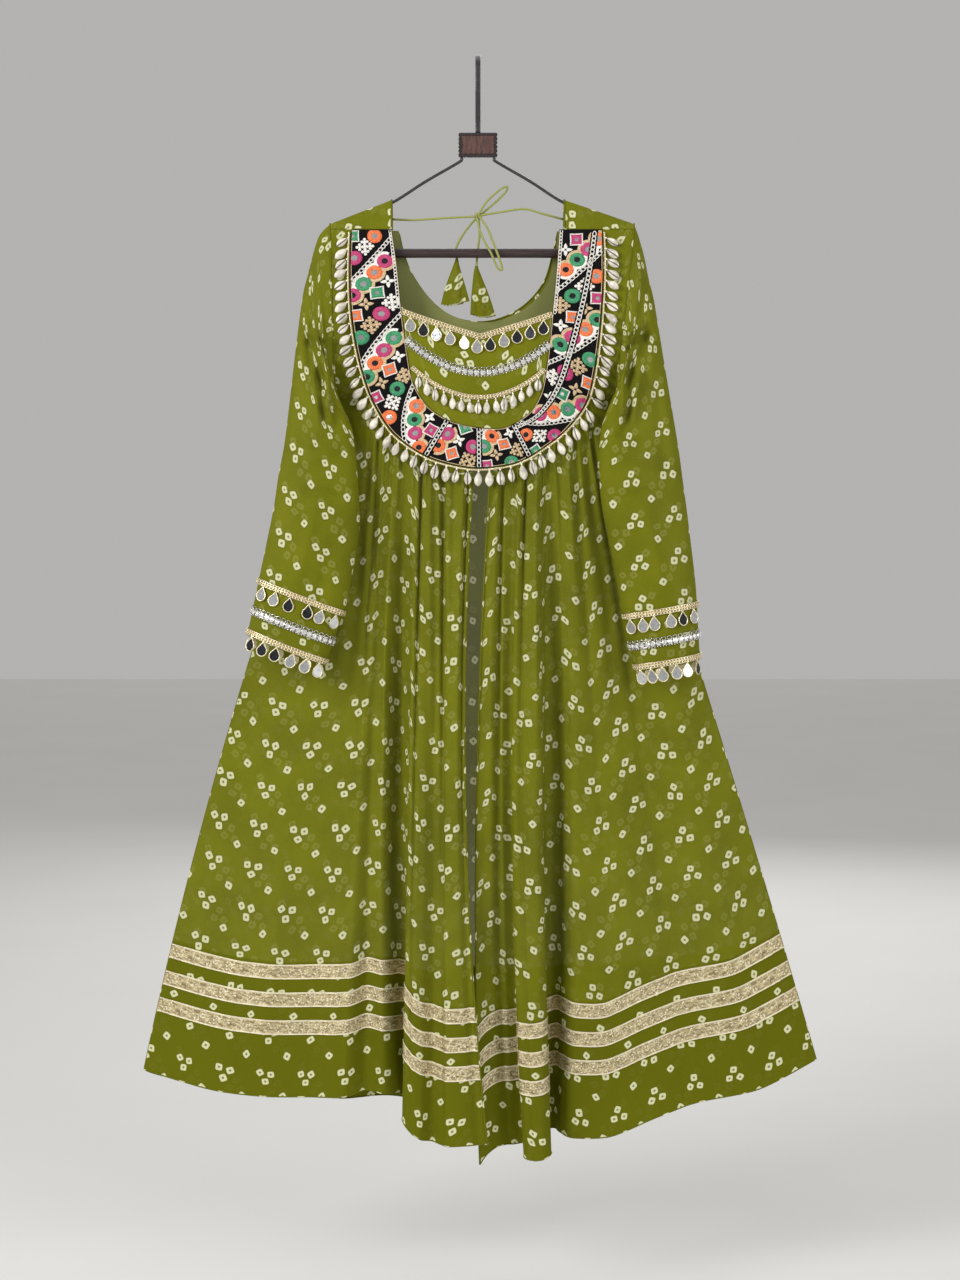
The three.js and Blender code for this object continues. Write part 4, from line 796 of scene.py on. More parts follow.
# The facing inside the back neck is a bias strip of lining crepe, slip-stitched along its lower edge.
FACING_WIDTH = 46.0
facing_crepe = mottled("olive_lining_crepe", ("#6e7238", "#8a8d52"), 700.0, 2.0, UV,
                       {"Roughness": 0.85, "Sheen Weight": 0.15}, bump=(0.4, 0.0005))

neck_line = neck_curve - [0, 1]
neck_line[[0, -1], 1] -= SEAM_GAP
slope = unit(np.gradient(neck_line, axis=0))
down_f = np.linspace(0, 1, 9)[:, None]
facing_x = neck_line[:, 0] + slope[:, 1] * FACING_WIDTH * down_f
facing_z = neck_line[:, 1] - slope[:, 0] * FACING_WIDTH * down_f
facing_x[:, 0] = neck_line[0, 0] - FACING_WIDTH * 0.8 * down_f[:, 0]
facing_x[:, -1] = neck_line[-1, 0] + FACING_WIDTH * 0.8 * down_f[:, 0]
facing_z[:, 0], facing_z[:, -1] = neck_line[0, 1], neck_line[-1, 1]
facing_grid = on_back(facing_x, facing_z, -(CLOTH + 1))
facing = dressed("back_neck_facing_strip", [
    cloth_part(facing_grid, len(neck_line) // 2), tube(facing_grid[-1], 0.6, 6),
], [facing_crepe], "facing_cloth", "back_neck_facing")


# ---------- Shoulders and front yoke
# Two lined strips join front and back over the shoulders, with pressed-open seams at both ends. The yoke is
# a lined piece of the print set inside the embroidered band, with the neckline's shallow V at its top.
FRONT_NECK = {"start": 1.85, "low_x": 2.6, "low_z": -351.0, "end": 13.0}


def band_edges(station):
    """Outer edge, outer seam and inner edge of the band, x and z, at stations along it."""
    rows = table_at(BAND, station)
    outer, inner = rows[:, :2], rows[:, 2:]
    inset = SEAM_GAP / np.linalg.norm(inner - outer, axis=1, keepdims=True)
    return outer, lerp(outer, inner, inset), inner


def front_neck_z(x):
    left, right = (band_edges(FRONT_NECK[end])[2][0] for end in ("start", "end"))
    low_x, low_z = FRONT_NECK["low_x"], FRONT_NECK["low_z"]
    x = np.asarray(x, float)
    fall = np.clip((x - left[0]) / (low_x - left[0]), 0, 1) ** 0.9
    rise = np.clip((right[0] - x) / (right[0] - low_x), 0, 1) ** 0.9
    return np.where(x < low_x, lerp(left[1], low_z, fall), lerp(right[1], low_z, rise))


YOKE_COLUMNS = 140


def yoke_surface():
    share = np.linspace(0, 1, YOKE_COLUMNS + 1)
    outer, seam, inner = band_edges(lerp(FRONT_NECK["start"], FRONT_NECK["end"], share))
    away = SEAM_GAP / np.linalg.norm(seam - inner, axis=1)
    x, z = (lerp(inner, seam, -away[:, None])).T
    top_x = lerp(x, lerp(-90, 88, share), 0.35 * np.clip(np.minimum(share, 1 - share) * YOKE_COLUMNS / 7, 0, 1))
    top_z = np.maximum(front_neck_z(top_x), z + 1)
    t = np.linspace(0, 1, 41)[:, None]
    return on_front(lerp(top_x, x, t), lerp(top_z, z, t))


yoke_grid = yoke_surface()
yoke = dressed("front_yoke_cloth", [cloth_part(yoke_grid, YOKE_COLUMNS // 2), rolled_edge(yoke_grid[0], 1.1)],
               [lined_cloth, hem_cloth], "georgette", "front_yoke")

for side_name in ("left", "right"):
    f = np.linspace(0, 1, 25)[:, None]
    seam_z = SHOULDER_SEAM_Z + 0.1
    height = lerp(NECK_POINT_Z, ARMHOLE_TOP_Z, f) - seam_z
    angle = np.linspace(0, np.pi, 33)[None]
    z = seam_z + np.sin(angle) * height
    x = lerp(SIDES[side_name]["neck"], armhole_x(side_name, z), f)
    reach = np.where(np.cos(angle) > 0, bodice_depth(x, np.full_like(x, seam_z), 1),
                     bodice_depth(x, np.full_like(x, seam_z), 2))
    strip = beside(x, -np.cos(angle) * reach, z)
    shoulder = dressed(f"shoulder_{side_name}_cloth", [
        cloth_part(strip, 16), rolled_edge(strip[0], 1.2), rolled_edge(strip[:, 0], 0.8),
        rolled_edge(strip[:, -1], 0.8),
    ], [lined_cloth, hem_cloth], "georgette", f"shoulder_{side_name}")


# ---------- Sleeves
# Long two-layer sleeves of the print, set into round armholes with a corded seam and narrowing to the cuff.
# They hang empty, nearly flat, with a few pulls at the underarm and soft buckles at the elbow.
SLEEVES = {
    # outer x, outer z, outer forward, inner x, inner z, inner forward, half depth
    "left": np.array([
        [-189.4, ARMHOLE_TOP_Z, 0, -182.9, UNDERARM_Z, 0, ARMHOLE_HALF_DEPTH],
        [-203, -224, 0, -187.5, -436, 5, 26], [-211, -246, 0, -184, -440, 16, 25],
        [-218, -274, 2, -181, -444, 27, 20], [-225, -304, 9, -171, -451, 32, 20],
        [-235, -381, 14, -160, -474, 36, 22], [-247, -485, 28, -153, -537, 45, 22],
        [-255, -530, 35, -151, -576, 48, 22], [-262, -576, 40, -153, -615, 50, 22],
        [-281, -667, 47, -168, -693, 53, 22], [-288, -700, 49, -182, -733, 54, 22],
        [-295, -733, 50, -195, -772, 55, 22],
    ]),
    "right": np.array([
        [199.9, ARMHOLE_TOP_Z, 0, 175.1, UNDERARM_Z, 0, ARMHOLE_HALF_DEPTH],
        [206, -226, 0, 180, -436, 5, 26], [213, -250, 0, 177, -440, 16, 25],
        [219, -279, 2, 173, -444, 27, 20], [226, -310, 9, 164, -451, 32, 20],
        [239, -387, 12, 156, -480, 35, 22], [256, -491, 27, 155, -537, 44, 21],
        [262, -536, 33, 158, -570, 48, 22], [268, -582, 40, 164, -602, 51, 22],
        [278, -667, 48, 180, -680, 55, 25], [281, -715, 51, 190, -728, 57, 27],
        [284, -764, 53, 201, -778, 59, 28],
    ]),
}
SLEEVE_ROUND = 88
SLEEVE_PARTS = 14
SLEEVE_CREASES = {
    "left": [
        [-196, -420, -232, -330, -5, 8], [-186, -452, -214, -400, 4.5, 7], [-178, -470, -214, -500, -4, 7],
        [-172, -490, -240, -520, 3, 9], [-165, -560, -232, -548, -2.5, 8], [-206, -250, -224, -380, 2.4, 8],
        [-222, -380, -238, -560, -2.4, 8], [-200, -540, -236, -690, 2.4, 9], [-180, -600, -214, -730, -2, 8],
        [-212, -300, -216, -430, -3, 6], [-226, -338, -188, -366, 6, 4.5], [-226, -352, -190, -380, -5.5, 4.5],
        [-195, -366, -185, -480, 5, 4.5], [-204, -372, -195, -480, -5, 4.5], [-214, -392, -200, -470, 3.5, 5],
    ],
    "right": [
        [186, -422, 226, -330, -5, 8], [178, -455, 206, -400, 4.5, 7], [172, -474, 214, -500, -4, 7],
        [170, -494, 240, -520, 3, 9], [170, -560, 238, -548, -2.5, 8], [208, -250, 226, -380, 2.4, 8],
        [224, -380, 244, -560, -2.4, 8], [206, -540, 240, -700, 2.4, 9], [190, -610, 222, -740, -2, 8],
        [212, -300, 214, -430, -3, 6], [218, -334, 180, -362, 6, 4.5], [218, -348, 182, -376, -5.5, 4.5],
        [187, -362, 179, -480, 5, 4.5], [196, -368, 188, -480, -5, 4.5], [208, -388, 196, -470, 3.5, 5],
    ],
}
sleeves = {}
sleeve_grids = {}
for side_name, rings in SLEEVES.items():
    places = np.linspace(0, len(rings) - 1, (len(rings) - 1) * SLEEVE_PARTS + 1)
    outer_x, outer_z, outer_fwd, inner_x, inner_z, inner_fwd, half = table_at(rings, places).T[..., None]
    angle = np.linspace(0, 2 * np.pi, SLEEVE_ROUND + 1) + np.pi
    f = (1 - np.cos(angle)) / 2
    grid = beside(lerp(outer_x, inner_x, f), -lerp(outer_fwd, inner_fwd, f) - np.sin(angle) * half,
                  lerp(outer_z, inner_z, f))
    fold = 1.7 * creases(grid[..., 0], grid[..., 2], SLEEVE_CREASES[side_name]) * np.abs(np.sin(angle))
    grid[..., 1] -= fold * np.sign(np.sin(angle)) * np.clip(places / 1.6, 0, 1)[:, None]
    sleeve_grids[side_name] = grid
    sleeves[side_name] = dressed(f"sleeve_{side_name}_cloth", [
        cloth_part(grid, SLEEVE_ROUND // 2), tube(grid[0, :-1], 1.1, 8, 1, closed=True),
        tube(grid[-1, :-1], 0.9, 8, 1, closed=True),
    ], [sheer[side_name], hem_cloth], "georgette", f"sleeve_{side_name}")


# ---------- Tassels of the tie cords
# Squares of the kurti's own cloth, folded and caught in the end of each cord, with the raw edge left to fray.
TASSELS = {
    # x, y, z, half width, half depth, tilt of each row from the head to the open lower edge
    "left": np.array([[-27, 11, -254.9, 2, 2, 0], [-28, 11, -262, 4, 3.5, 0], [-30, 12, -290, 13, 6, 2],
                      [-30, 12, -311, 18, 7, 2]]),
    "right": np.array([[-2, 11, -263.9, 2, 2, 0], [-1.5, 11, -271, 4, 3.5, 0], [3, 12, -300, 11, 6, -1],
                       [6.5, 12, -327, 15.5, 7, -1]]),
}
TASSEL_PLEATS = {"left": 5, "right": 4}
TASSEL_ROUND = 72
for side_name, rows in TASSELS.items():
    x, y, z, half_width, half_depth, tilt = table_at(rows, np.linspace(0, len(rows) - 1, 25)).T[..., None]
    angle = np.linspace(0, 2 * np.pi, TASSEL_ROUND + 1)
    open_share = np.linspace(0, 1, 25)[:, None]
    pleat = 1 + open_share * (0.16 * np.cos(TASSEL_PLEATS[side_name] * angle + 0.8) - 0.08)
    fray = np.where(open_share > 0.99, 0.8 * np.sin(29 * angle) + 0.5 * np.sin(47 * angle + 1), 0)
    cone = beside(x + np.cos(angle) * half_width * pleat, y + np.sin(angle) * half_depth * pleat,
                  z + np.cos(angle) * tilt + fray + 1.5 * open_share ** 2 * np.cos(2 * angle))
    binding = smooth_line([[*rows[0][:2], rows[0][2] + 1.5], rows[1][:3] + [0, 0, 3.5]], 6)
    tassel = dressed(f"tassel_{side_name}_cloth", [cloth_part(cone, TASSEL_ROUND // 4), tube(binding, 2.1, 10, 1)],
                     [lined_cloth, hem_cloth], "georgette", f"tassel_{side_name}")


# ---------- Gota strips
# Three rows of 19 mm gota round the skirt: crinkled ribbon of flattened gilt wire on a silk warp, stitched
# flat along both selvedges above the hem.
GOTA = {"lower_edges": [157, 120, 83], "width": 19.0, "lift": 1.0, "selvedge": 0.45}

# Gilt foil weave: metallic and satin, broken by fine crossways crinkles. Its colour holds painted light: bright and
# dull patches painted along the crinkles, painted glints on small flecks, and a painted highlight along each
# selvedge, where two wires lie.
gota_foil, node = new_material("woven_gilt_gota_ribbon")
uv = node("TexCoord", output=UV)
axes = node("SeparateXYZ", [uv]).node.outputs
ribs = node("VectorMath.MULTIPLY", [uv, (1100, 380, 1)])
ribs = node("TexNoise", {"Vector": ribs, "Scale": 1.0, "Detail": 2.0})
slant = node("VectorRotate", {"Vector": uv, "Angle": 0.12}, rotation_type="Z_AXIS")
slant = node("VectorMath.MULTIPLY", [slant, (85, 330, 1)])
crush = node("TexNoise", {"Vector": slant, "Scale": 1.0, "Detail": 4.0, "Roughness": 0.72})
flecks = node("TexVoronoi", {"Vector": uv, "Scale": 620.0}, 1)
fleck = node("SeparateXYZ", [flecks])
painted_glints = node("MapRange", {"Value": fleck, "From Min": 0.7, "From Max": 0.95})
from_middle = node("Math.ADD", [axes[1], -GOTA["width"] / 2 * MM])
from_middle = node("Math.ABSOLUTE", [from_middle])
selvedge = node("MapRange", {"Value": from_middle, "From Min": 0.0074, "From Max": 0.0084})
# Painted light and shade: the crinkle noise paints bright and dull patches into the foil's colour.
painted_crinkle_light = node("MapRange", {"Value": crush, "From Min": 0.4, "From Max": 0.62})
tone = node("Mix", {0: painted_crinkle_light, 6: linear("#7e6f4b"), 7: linear("#cfc095")}, 2, data_type="RGBA")
# Painted glints on the flecks and a painted highlight along each selvedge, both mixed in as a pale colour.
painted_glints_and_highlights = node("Math.MAXIMUM", [painted_glints, selvedge])
painted_glints_and_highlights = node("Math.MULTIPLY", [painted_glints_and_highlights, 0.8])
tone = node("Mix", {0: painted_glints_and_highlights, 6: tone, 7: linear("#f3e9cb")}, 2, data_type="RGBA")
height = node("Math.MULTIPLY_ADD", [crush, 1.4, ribs])
bump = node("Bump", {"Height": height, "Strength": 0.6, "Distance": 0.0011})
gloss = node("MapRange", {"Value": ribs, "To Min": 0.34, "To Max": 0.58})
shader = node("BsdfPrincipled", {"Base Color": tone, "Metallic": 0.62, "Roughness": gloss, "Normal": bump})
node("OutputMaterial", {"Surface": shader})


def strip_on(grid, lower_edge, towards):
    """Grid of a ribbon lying on a panel, at a distance up from the panel's hem."""
    length = np.linalg.norm(grid[-1] - grid[0], axis=-1)
    up = lower_edge + np.linspace(GOTA["width"], 0, 9)[:, None]
    row = (1 - up / length) * (len(grid) - 1)
    first = np.floor(row).astype(int)
    part = (row - first)[..., None]
    column = np.arange(grid.shape[1])[None]
    lifted = grid + grid_normals(grid, towards) * GOTA["lift"]
    return lerp(lifted[first, column], lifted[first + 1, column], part)


gota_rows = [("front_left", front_grids["left"], (0, -1, 0)), ("front_right", front_grids["right"], (0, -1, 0)),
             ("back", back_grid, (0, 1, 0))]
for panel_name, grid, towards in gota_rows:
    for number, lower_edge in enumerate(GOTA["lower_edges"], 1):
        ribbon = strip_on(grid, lower_edge, towards)
        selvedges = [tube(ribbon[edge], GOTA["selvedge"], 5) for edge in (0, -1)]
        dressed(f"gota_{panel_name}_{number}_ribbon", [cloth_part(ribbon, 0), *selvedges], [gota_foil],
                              "gota_foil", f"gota_{panel_name}_{number}")


# ---------- Embroidered band
# A deep U of black crepe worked all over in silk floss and mirrors, with the rows on the slant, cut and joined
# at taped seams. It is lined, laid over the seam of yoke and fronts and sewn down along both edges.
BAND_WIDTH = 52.0
GROUND_LIFT = 0.7        # top of the band's crepe over the cloth's middle; stitches stand on it
ROW_REPEAT = 68.0        # from one slanting line of chain stitch to the next
ROW_ITEM = 18.2          # from one motif of a row to the next
ROW_START = 60.0         # of the first row, in from the panel's start
LINK_PITCH = 5.6         # from one link of chain stitch to the next
ROW_BASE = 5.0           # of each row's first item, in from the band's outer edge
OVERHANG = 5.0           # how far motifs may reach past an edge before they are cut off there
LINK = (3.7, 2.1, 0.6)   # half length, half width and thread of a chain stitch
NECK_LINK = (2.9, 1.5, 0.5)
TAPE_HALF = 4.2
MIRRORS = {"ring": 3.6, "diamond": 2.6}      # radius of the glass in each motif
DARK_SHARE = 0.35        # of the rings' mirrors
BAND_PANELS = [
    # start and end along the band's middle, and how far the rows run back along it for each mm across
    (0, 292, 1.1), (292, 348, -0.25), (348, 404, -0.9), (404, 700, 1.1),
]
stations = np.linspace(0, len(BAND) - 1, 901)
band_outer, _, band_inner = band_edges(stations)
band_run = lengths_along((band_outer + band_inner) / 2)


def band_place(run, width):
    """Points of the band, x and z, at distances along its middle and in from its outer edge."""
    station = np.interp(np.ravel(run), band_run, stations)
    outer, _, inner = band_edges(station)
    return lerp(outer, inner, np.ravel(width)[:, None] / BAND_WIDTH)


def on_band(run, width, height):
    """Points above the band's ground."""
    x, z = band_place(run, width).T
    return on_front(x, z, GROUND_LIFT + np.ravel(height))


def repeated(polygons, size, count):
    """Faces of so many copies of a part with `size` points."""
    return [np.concatenate([array + i * size for i in range(count)]) for array in polygons]


def stitched(part, spots, turns=0.0):
    """Copies of a flat-lying part on the band at (along, across) spots, each turned by an angle, and cut off
    where they would pass the band's edges. Part points are along, across and height."""
    points, polygons, uv, slot = part
    spots = np.asarray(spots, float)
    turns = np.broadcast_to(np.asarray(turns, float), len(spots))[:, None]
    ahead = band_place(spots[:, 0] + 1, spots[:, 1]) - band_place(spots[:, 0] - 1, spots[:, 1])
    stretch = np.maximum(np.linalg.norm(ahead, axis=1) / 2, 0.3)[:, None]
    a, b = points[:, 0], points[:, 1]
    run = spots[:, :1] + (a * np.cos(turns) - b * np.sin(turns)) / stretch
    width = np.clip(spots[:, 1:] + a * np.sin(turns) + b * np.cos(turns), 1.0, BAND_WIDTH - 1.0)
    run = np.clip(run, 1.2, band_run[-1] - 1.2)
    solid = on_band(run, width, np.broadcast_to(points[:, 2], run.shape))
    return solid, repeated(polygons, len(points), len(spots)), np.tile(uv, (len(spots), 1)), slot


def rings_part(outline, profile, slot, centre=True):
    """A low dome inside a closed outline, from (share of the outline, height) pairs, outermost first."""
    outline = np.asarray(outline, float)
    count = len(outline)
    points = np.vstack([np.column_stack([outline * share, np.full(count, height)]) for share, height in profile])
    faces = [grid_quads(len(profile), count, closed=True)]
    around = lengths_along(np.vstack([outline, outline[:1]]))[:-1]
    reach = np.linalg.norm(outline, axis=1).mean()
    uv = np.vstack([np.column_stack([around, np.full(count, share * reach)]) for share, _ in profile])
    if centre:
        hub = len(points)
        points = np.vstack([points, [0, 0, profile[-1][1]]])
        uv = np.vstack([uv, [0, 0]])
        last = (len(profile) - 1) * count + np.arange(count)
        faces.append(beside(last, np.roll(last, -1), np.full(count, hub)))
    return points, faces, uv * MM, slot


def circle(radius, count, start=0.0):
    angle = start + full_turn(count)
    return np.column_stack([radius * np.cos(angle), radius * np.sin(angle)])


def silk_floss(name, dark, light):
    """Satin stitch in silk floss: threads 0.45 mm apart, a soft shine, and deeper colour between stitches."""
    material, node = new_material(name)
    uv = node("TexCoord", output=UV)
    across = node("SeparateXYZ", [uv])
    phase = node("Math.MULTIPLY", [across, 2 * math.pi / 0.00045])
    threads = node("Math.SINE", [phase])
    place = node("TexCoord", output=PLACE)
    uneven = node("TexNoise", {"Vector": place, "Scale": 700.0, "Detail": 3.0})
    height = node("Math.MULTIPLY_ADD", [threads, 0.25, uneven])
    tone = node("MapRange", {"Value": uneven, "From Min": 0.32, "From Max": 0.62})
    tone = node("Mix", {0: tone, 6: linear(dark), 7: linear(light)}, 2, data_type="RGBA")
    bump = node("Bump", {"Height": height, "Strength": 0.5, "Distance": 0.0004})
    shader = node("BsdfPrincipled", {"Base Color": tone, "Roughness": 0.48, "Normal": bump, "Sheen Weight": 0.2})
    node("OutputMaterial", {"Surface": shader})
    return material


def polished(name, colour, roughness, metallic=1.0, worn="#8a8a88", patch=300.0, **more):
    """A shiny hard surface with cloudy patches where it is duller and darker."""
    material, node = new_material(name)
    place = node("TexCoord", output=PLACE)
    cloud = node("TexNoise", {"Vector": place, "Scale": patch, "Detail": 3.0})
    cloud = node("MapRange", {"Value": cloud, "From Min": 0.45, "From Max": 0.75})
    tone = node("Mix", {0: cloud, 6: linear(colour), 7: linear(worn)}, 2, data_type="RGBA")
    rough = node("MapRange", {"Value": cloud, "To Min": roughness, "To Max": min(1.0, roughness + 0.2)})
    shader = node("BsdfPrincipled", {"Base Color": tone, "Metallic": metallic, "Roughness": rough, **more})
    node("OutputMaterial", {"Surface": shader})
    return material


# Black crepe with a fine matt grain, almost without shine, so that the floss stands out on it.
black_crepe = mottled("black_crepe_ground", ("#030203", "#0e0a0d"), 900.0, 3.0, UV,
                      {"Roughness": 0.85, "Specular IOR Level": 0.15}, bump=(0.5, 0.0004))
# Silvered glass with a clean bright face, and a darker glass used for some of the mirrors.
bright_mirror = polished("silvered_mirror_glass", "#e9ecec", 0.06, worn="#c2c6c8")
dark_mirror = polished("darker_mirror_glass", "#4d5054", 0.1, worn="#25272b")
gilt = polished("gilt_wire_and_beads", "#f3e9c9", 0.3, worn="#bda878", patch=900.0)
pearl = polished("glass_pearl", "#efe6d6", 0.2, metallic=0.0, worn="#cfc1ab", patch=500.0)
FLOSS = {
    "magenta": silk_floss("magenta_satin_stitch", "#86103f", "#c92b74"),
    "green": silk_floss("green_satin_stitch", "#0f5a35", "#2f9c66"),
    "orange": silk_floss("orange_satin_stitch", "#bf4514", "#f07c3a"),
    "white": silk_floss("white_floss_stitch", "#c9c4bb", "#f4f1ea"),
    "beige": silk_floss("beige_floss_stitch", "#a5865f", "#d6bd95"),
}
BAND_MATERIALS = [black_crepe, bright_mirror, dark_mirror, gilt, pearl, *FLOSS.values()]
BRIGHT, DARK, GILT, PEARL = 1, 2, 3, 4
FLOSS_SLOT = {name: 5 + i for i, name in enumerate(FLOSS)}

# The ground: a strip of crepe over its lining, both edges turned under.
edge_across = np.array([0, 0, 0.6, *np.linspace(2, BAND_WIDTH - 2, 15), BAND_WIDTH - 0.6, BAND_WIDTH, BAND_WIDTH])
edge_height = np.array([-1.1, -0.5, *np.zeros(17), -0.5, -1.1])
along = np.linspace(0, band_run[-1], 301)
ground_grid = on_band(*np.broadcast_arrays(along[:, None], edge_across[None], edge_height[None]))
ground_grid = ground_grid.reshape(301, -1, 3)
band_ground = dressed("embroidered_band_crepe", [cloth_part(ground_grid, 9)], [black_crepe],
                      "embroidered_band", "embroidered_band")

# Motifs, each in its own millimetres: along the row, across the row and height.
RING = 9.2
ring_edge = circle(RING, 36)
theta = full_turn(40)
diamond_edge = (9.4 / (np.abs(np.cos(theta)) ** 0.9 + np.abs(np.sin(theta)) ** 0.9) ** (1 / 0.9))[:, None]
diamond_edge = diamond_edge * circle(1, 40)
diamond_rim = np.column_stack([diamond_edge * 1.1, np.full(40, 0.5)])
arc_angle = np.linspace(math.radians(12), math.radians(168), 15)
leaf_angle = full_turn(12)
leaf_edge = np.column_stack([3.6 * np.cos(leaf_angle),
                             1.75 * np.sin(leaf_angle) * (1.15 - 0.5 * np.cos(leaf_angle))])
CROSS = [(0, 0)] + [(s * a, t * b) for a, b in ((1, 0), (2, 0), (3, 0), (0, 1), (0, 2), (0, 3), (2, 1), (1, 2))
                    for s in (-1, 1) for t in (-1, 1) if (a or s == 1) and (b or t == 1)]
CROSS_STEP = 3.1


def ring_of(slot):
    return rings_part(ring_edge, [(1, 0), (0.95, 0.7), (0.72, 1.1), (0.46, 0.95), (0.37, 0.5)], slot, centre=False)


def diamond_of(slot):
    return rings_part(diamond_edge, [(1, 0), (0.9, 0.7), (0.6, 1.05), (0.34, 0.8), (0.3, 0.4)], slot, centre=False)


def tilted_mirror(radius, slot):
    """A flat mirror that sits a little askew in its stitches."""
    points, faces, uv, _ = rings_part(circle(radius, 18), [(1, 0.6)], slot)
    points[:, 2] += points[:, 0] * 0.09
    return points, faces[1:], uv, slot


def chain_link(half_length, half_width, thread, slot):
    angle = full_turn(14)
    loop = np.column_stack([half_length * np.cos(angle), half_width * np.sin(angle), 0.9 + 0.35 * np.cos(angle)])
    return tube(loop, thread, 5, slot, closed=True)


def crescent(slot):
    """Low scalloped filling beside a ring."""
    grid = np.stack([np.column_stack([r * np.cos(arc_angle), r * np.sin(arc_angle), np.full(15, h)])
                     for r, h in ((RING - 0.6, 0.3), (RING + 1.2, 0.75), (RING + 3.2, 0.1))])
    return grid.reshape(-1, 3), [grid_quads(3, 15)], grid.reshape(-1, 3)[:, :2] * MM, slot


def pad(slot):
    return rings_part(circle(2.0, 8, np.pi / 8), [(1, 0), (0.75, 0.75), (0.3, 0.95)], slot)


rng = np.random.default_rng(11)
stitches = []
by_kind = {}


def put(kind, colour, spot, turn):
    by_kind.setdefault((kind, colour), []).append((*spot, turn))


COLOURS = ("green", "magenta", "orange")
PALE = ("white", "beige")
LEAF_OUT = 4.6           # of each leaf's middle from the middle of its flower
# Each kind of row, its place in the repeat, and how close its middle comes to the panel's edges.
ROWS = [("chain", 0.0, 2.0), ("rings", 13.0, 6.0), ("diamonds", 31.5, 6.0), ("crosses", 51.5, 6.0)]
for start, end, slant in BAND_PANELS:
    end = min(end, band_run[-1])
    lean = math.hypot(1, slant)
    row_way = np.array([-slant, 1]) / lean
    next_row = np.array([1, slant]) / lean
    row_turn = math.atan2(row_way[1], row_way[0])
    first = int(math.floor(-BAND_WIDTH * abs(slant) / ROW_REPEAT)) - 1
    last = int(math.ceil((end - start + BAND_WIDTH * abs(slant)) / ROW_REPEAT)) + 1
    for repeat in range(first, last + 1):
        for row, offset, reach in ROWS:
            pitch, items = (LINK_PITCH, range(-30, 33)) if row == "chain" else (ROW_ITEM, range(-9, 12))
            for item in items:
                spot = (np.array([start + ROW_START, ROW_BASE]) + item * pitch * row_way
                        + (repeat * ROW_REPEAT + offset) * next_row)
                if not (start + reach < spot[0] < end - reach
                        and reach - OVERHANG < spot[1] < BAND_WIDTH + OVERHANG - reach):
                    continue
                colour = COLOURS[(2 * item + repeat) % 3]
                if row == "chain":
                    put("chain", "white", spot, row_turn)
                elif row == "rings":
                    put("ring", colour, spot, row_turn)
                    put("crescent", "white", spot, row_turn)
                    put("crescent", "beige", spot, row_turn + np.pi)
                elif row == "diamonds" and item % 2 == 0:
                    put("diamond", COLOURS[(item // 2 + repeat) % 3], spot, row_turn)
                elif row == "diamonds":
                    for quarter in range(4):
                        turn = row_turn + np.pi / 4 + quarter * np.pi / 2
                        put("leaf", PALE[item // 2 % 2], spot + LEAF_OUT * np.array([math.cos(turn), math.sin(turn)]),
                            turn)
                elif item % 2 == 0:
                    put("cross", PALE[(item // 2 + repeat) % 2], spot, row_turn + np.pi / 4)
                else:
                    put("ring", colour, spot, row_turn)

for (kind, colour), places in by_kind.items():
    places = np.array(places)
    spots, turns, slot = places[:, :2], places[:, 2], FLOSS_SLOT[colour]
    if kind == "ring":
        stitches.append(stitched(ring_of(slot), spots, turns))
        dark = rng.random(len(spots)) < DARK_SHARE
        for glass, chosen in ((BRIGHT, ~dark), (DARK, dark)):
            if chosen.any():
                stitches.append(stitched(tilted_mirror(MIRRORS[kind], glass), spots[chosen],
                                         rng.random(chosen.sum()) * 6.28))
    elif kind == "diamond":
        outline = FLOSS_SLOT[PALE[len(stitches) % 2]]
        stitches.append(stitched(diamond_of(slot), spots, turns))
        stitches.append(stitched(tube(diamond_rim, 0.85, 5, outline, closed=True), spots, turns))
        stitches.append(stitched(tilted_mirror(MIRRORS[kind], BRIGHT), spots, rng.random(len(spots)) * 6.28))
    elif kind == "crescent":
        stitches.append(stitched(crescent(slot), spots, turns))
    elif kind == "leaf":
        stitches.append(stitched(rings_part(leaf_edge, [(1, 0), (0.6, 0.7)], slot), spots, turns))
    elif kind == "cross":
        for right, up in CROSS:
            away = np.hypot(right, up) * CROSS_STEP
            way = turns + math.atan2(up, right)
            stitches.append(stitched(pad(slot), spots + away * beside(np.cos(way), np.sin(way)), turns))
    else:
        stitches.append(stitched(chain_link(*LINK, slot), spots, turns))

# Black tape covers the joins of the panels and one long seam; it carries a line of chain stitch. A finer
# chain runs along the inner edge beside the neck.
TAPES = [((end, 0), (end, BAND_WIDTH)) for _, end, _ in BAND_PANELS[:-1]] + [((404, 46), (band_run[-1], 9))]
for low, high in TAPES:
    low, high = np.array(low, float), np.array(high, float)
    length = math.dist(low, high)
    way = (high - low) / length
    f = np.linspace(0, 1, max(2, int(length / 4)) + 1)[:, None]
    half = TAPE_HALF * np.array([-1, -0.9, 0, 0.9, 1.0])[None]
    tape_run = np.clip(low[0] + f * (high[0] - low[0]) - half * way[1], 0, band_run[-1])
    tape_width = np.clip(low[1] + f * (high[1] - low[1]) + half * way[0], 0.2, BAND_WIDTH - 0.2)
    tape = on_band(tape_run, tape_width, np.broadcast_to([0.6, 1.25, 1.3, 1.25, 0.6], tape_run.shape))
    stitches.append((tape, [grid_quads(len(f), 5)], beside(tape_run, tape_width).reshape(-1, 2) * MM, 0))
    points, faces, uv, slot = chain_link(*LINK, FLOSS_SLOT["white"])
    stitches.append(stitched((points + [0, 0, 0.9], faces, uv, slot),
                             low + np.arange(4, length - 2, LINK_PITCH)[:, None] * way, math.atan2(way[1], way[0])))
neck_ends = np.interp([FRONT_NECK["start"], FRONT_NECK["end"]], stations, band_run)
for from_run, to_run in ((3, neck_ends[0]), (neck_ends[1], band_run[-1] - 3)):
    spots = beside(np.arange(from_run, to_run, 4.4), BAND_WIDTH - 2.6)
    stitches.append(stitched(chain_link(*NECK_LINK, FLOSS_SLOT["white"]), spots))
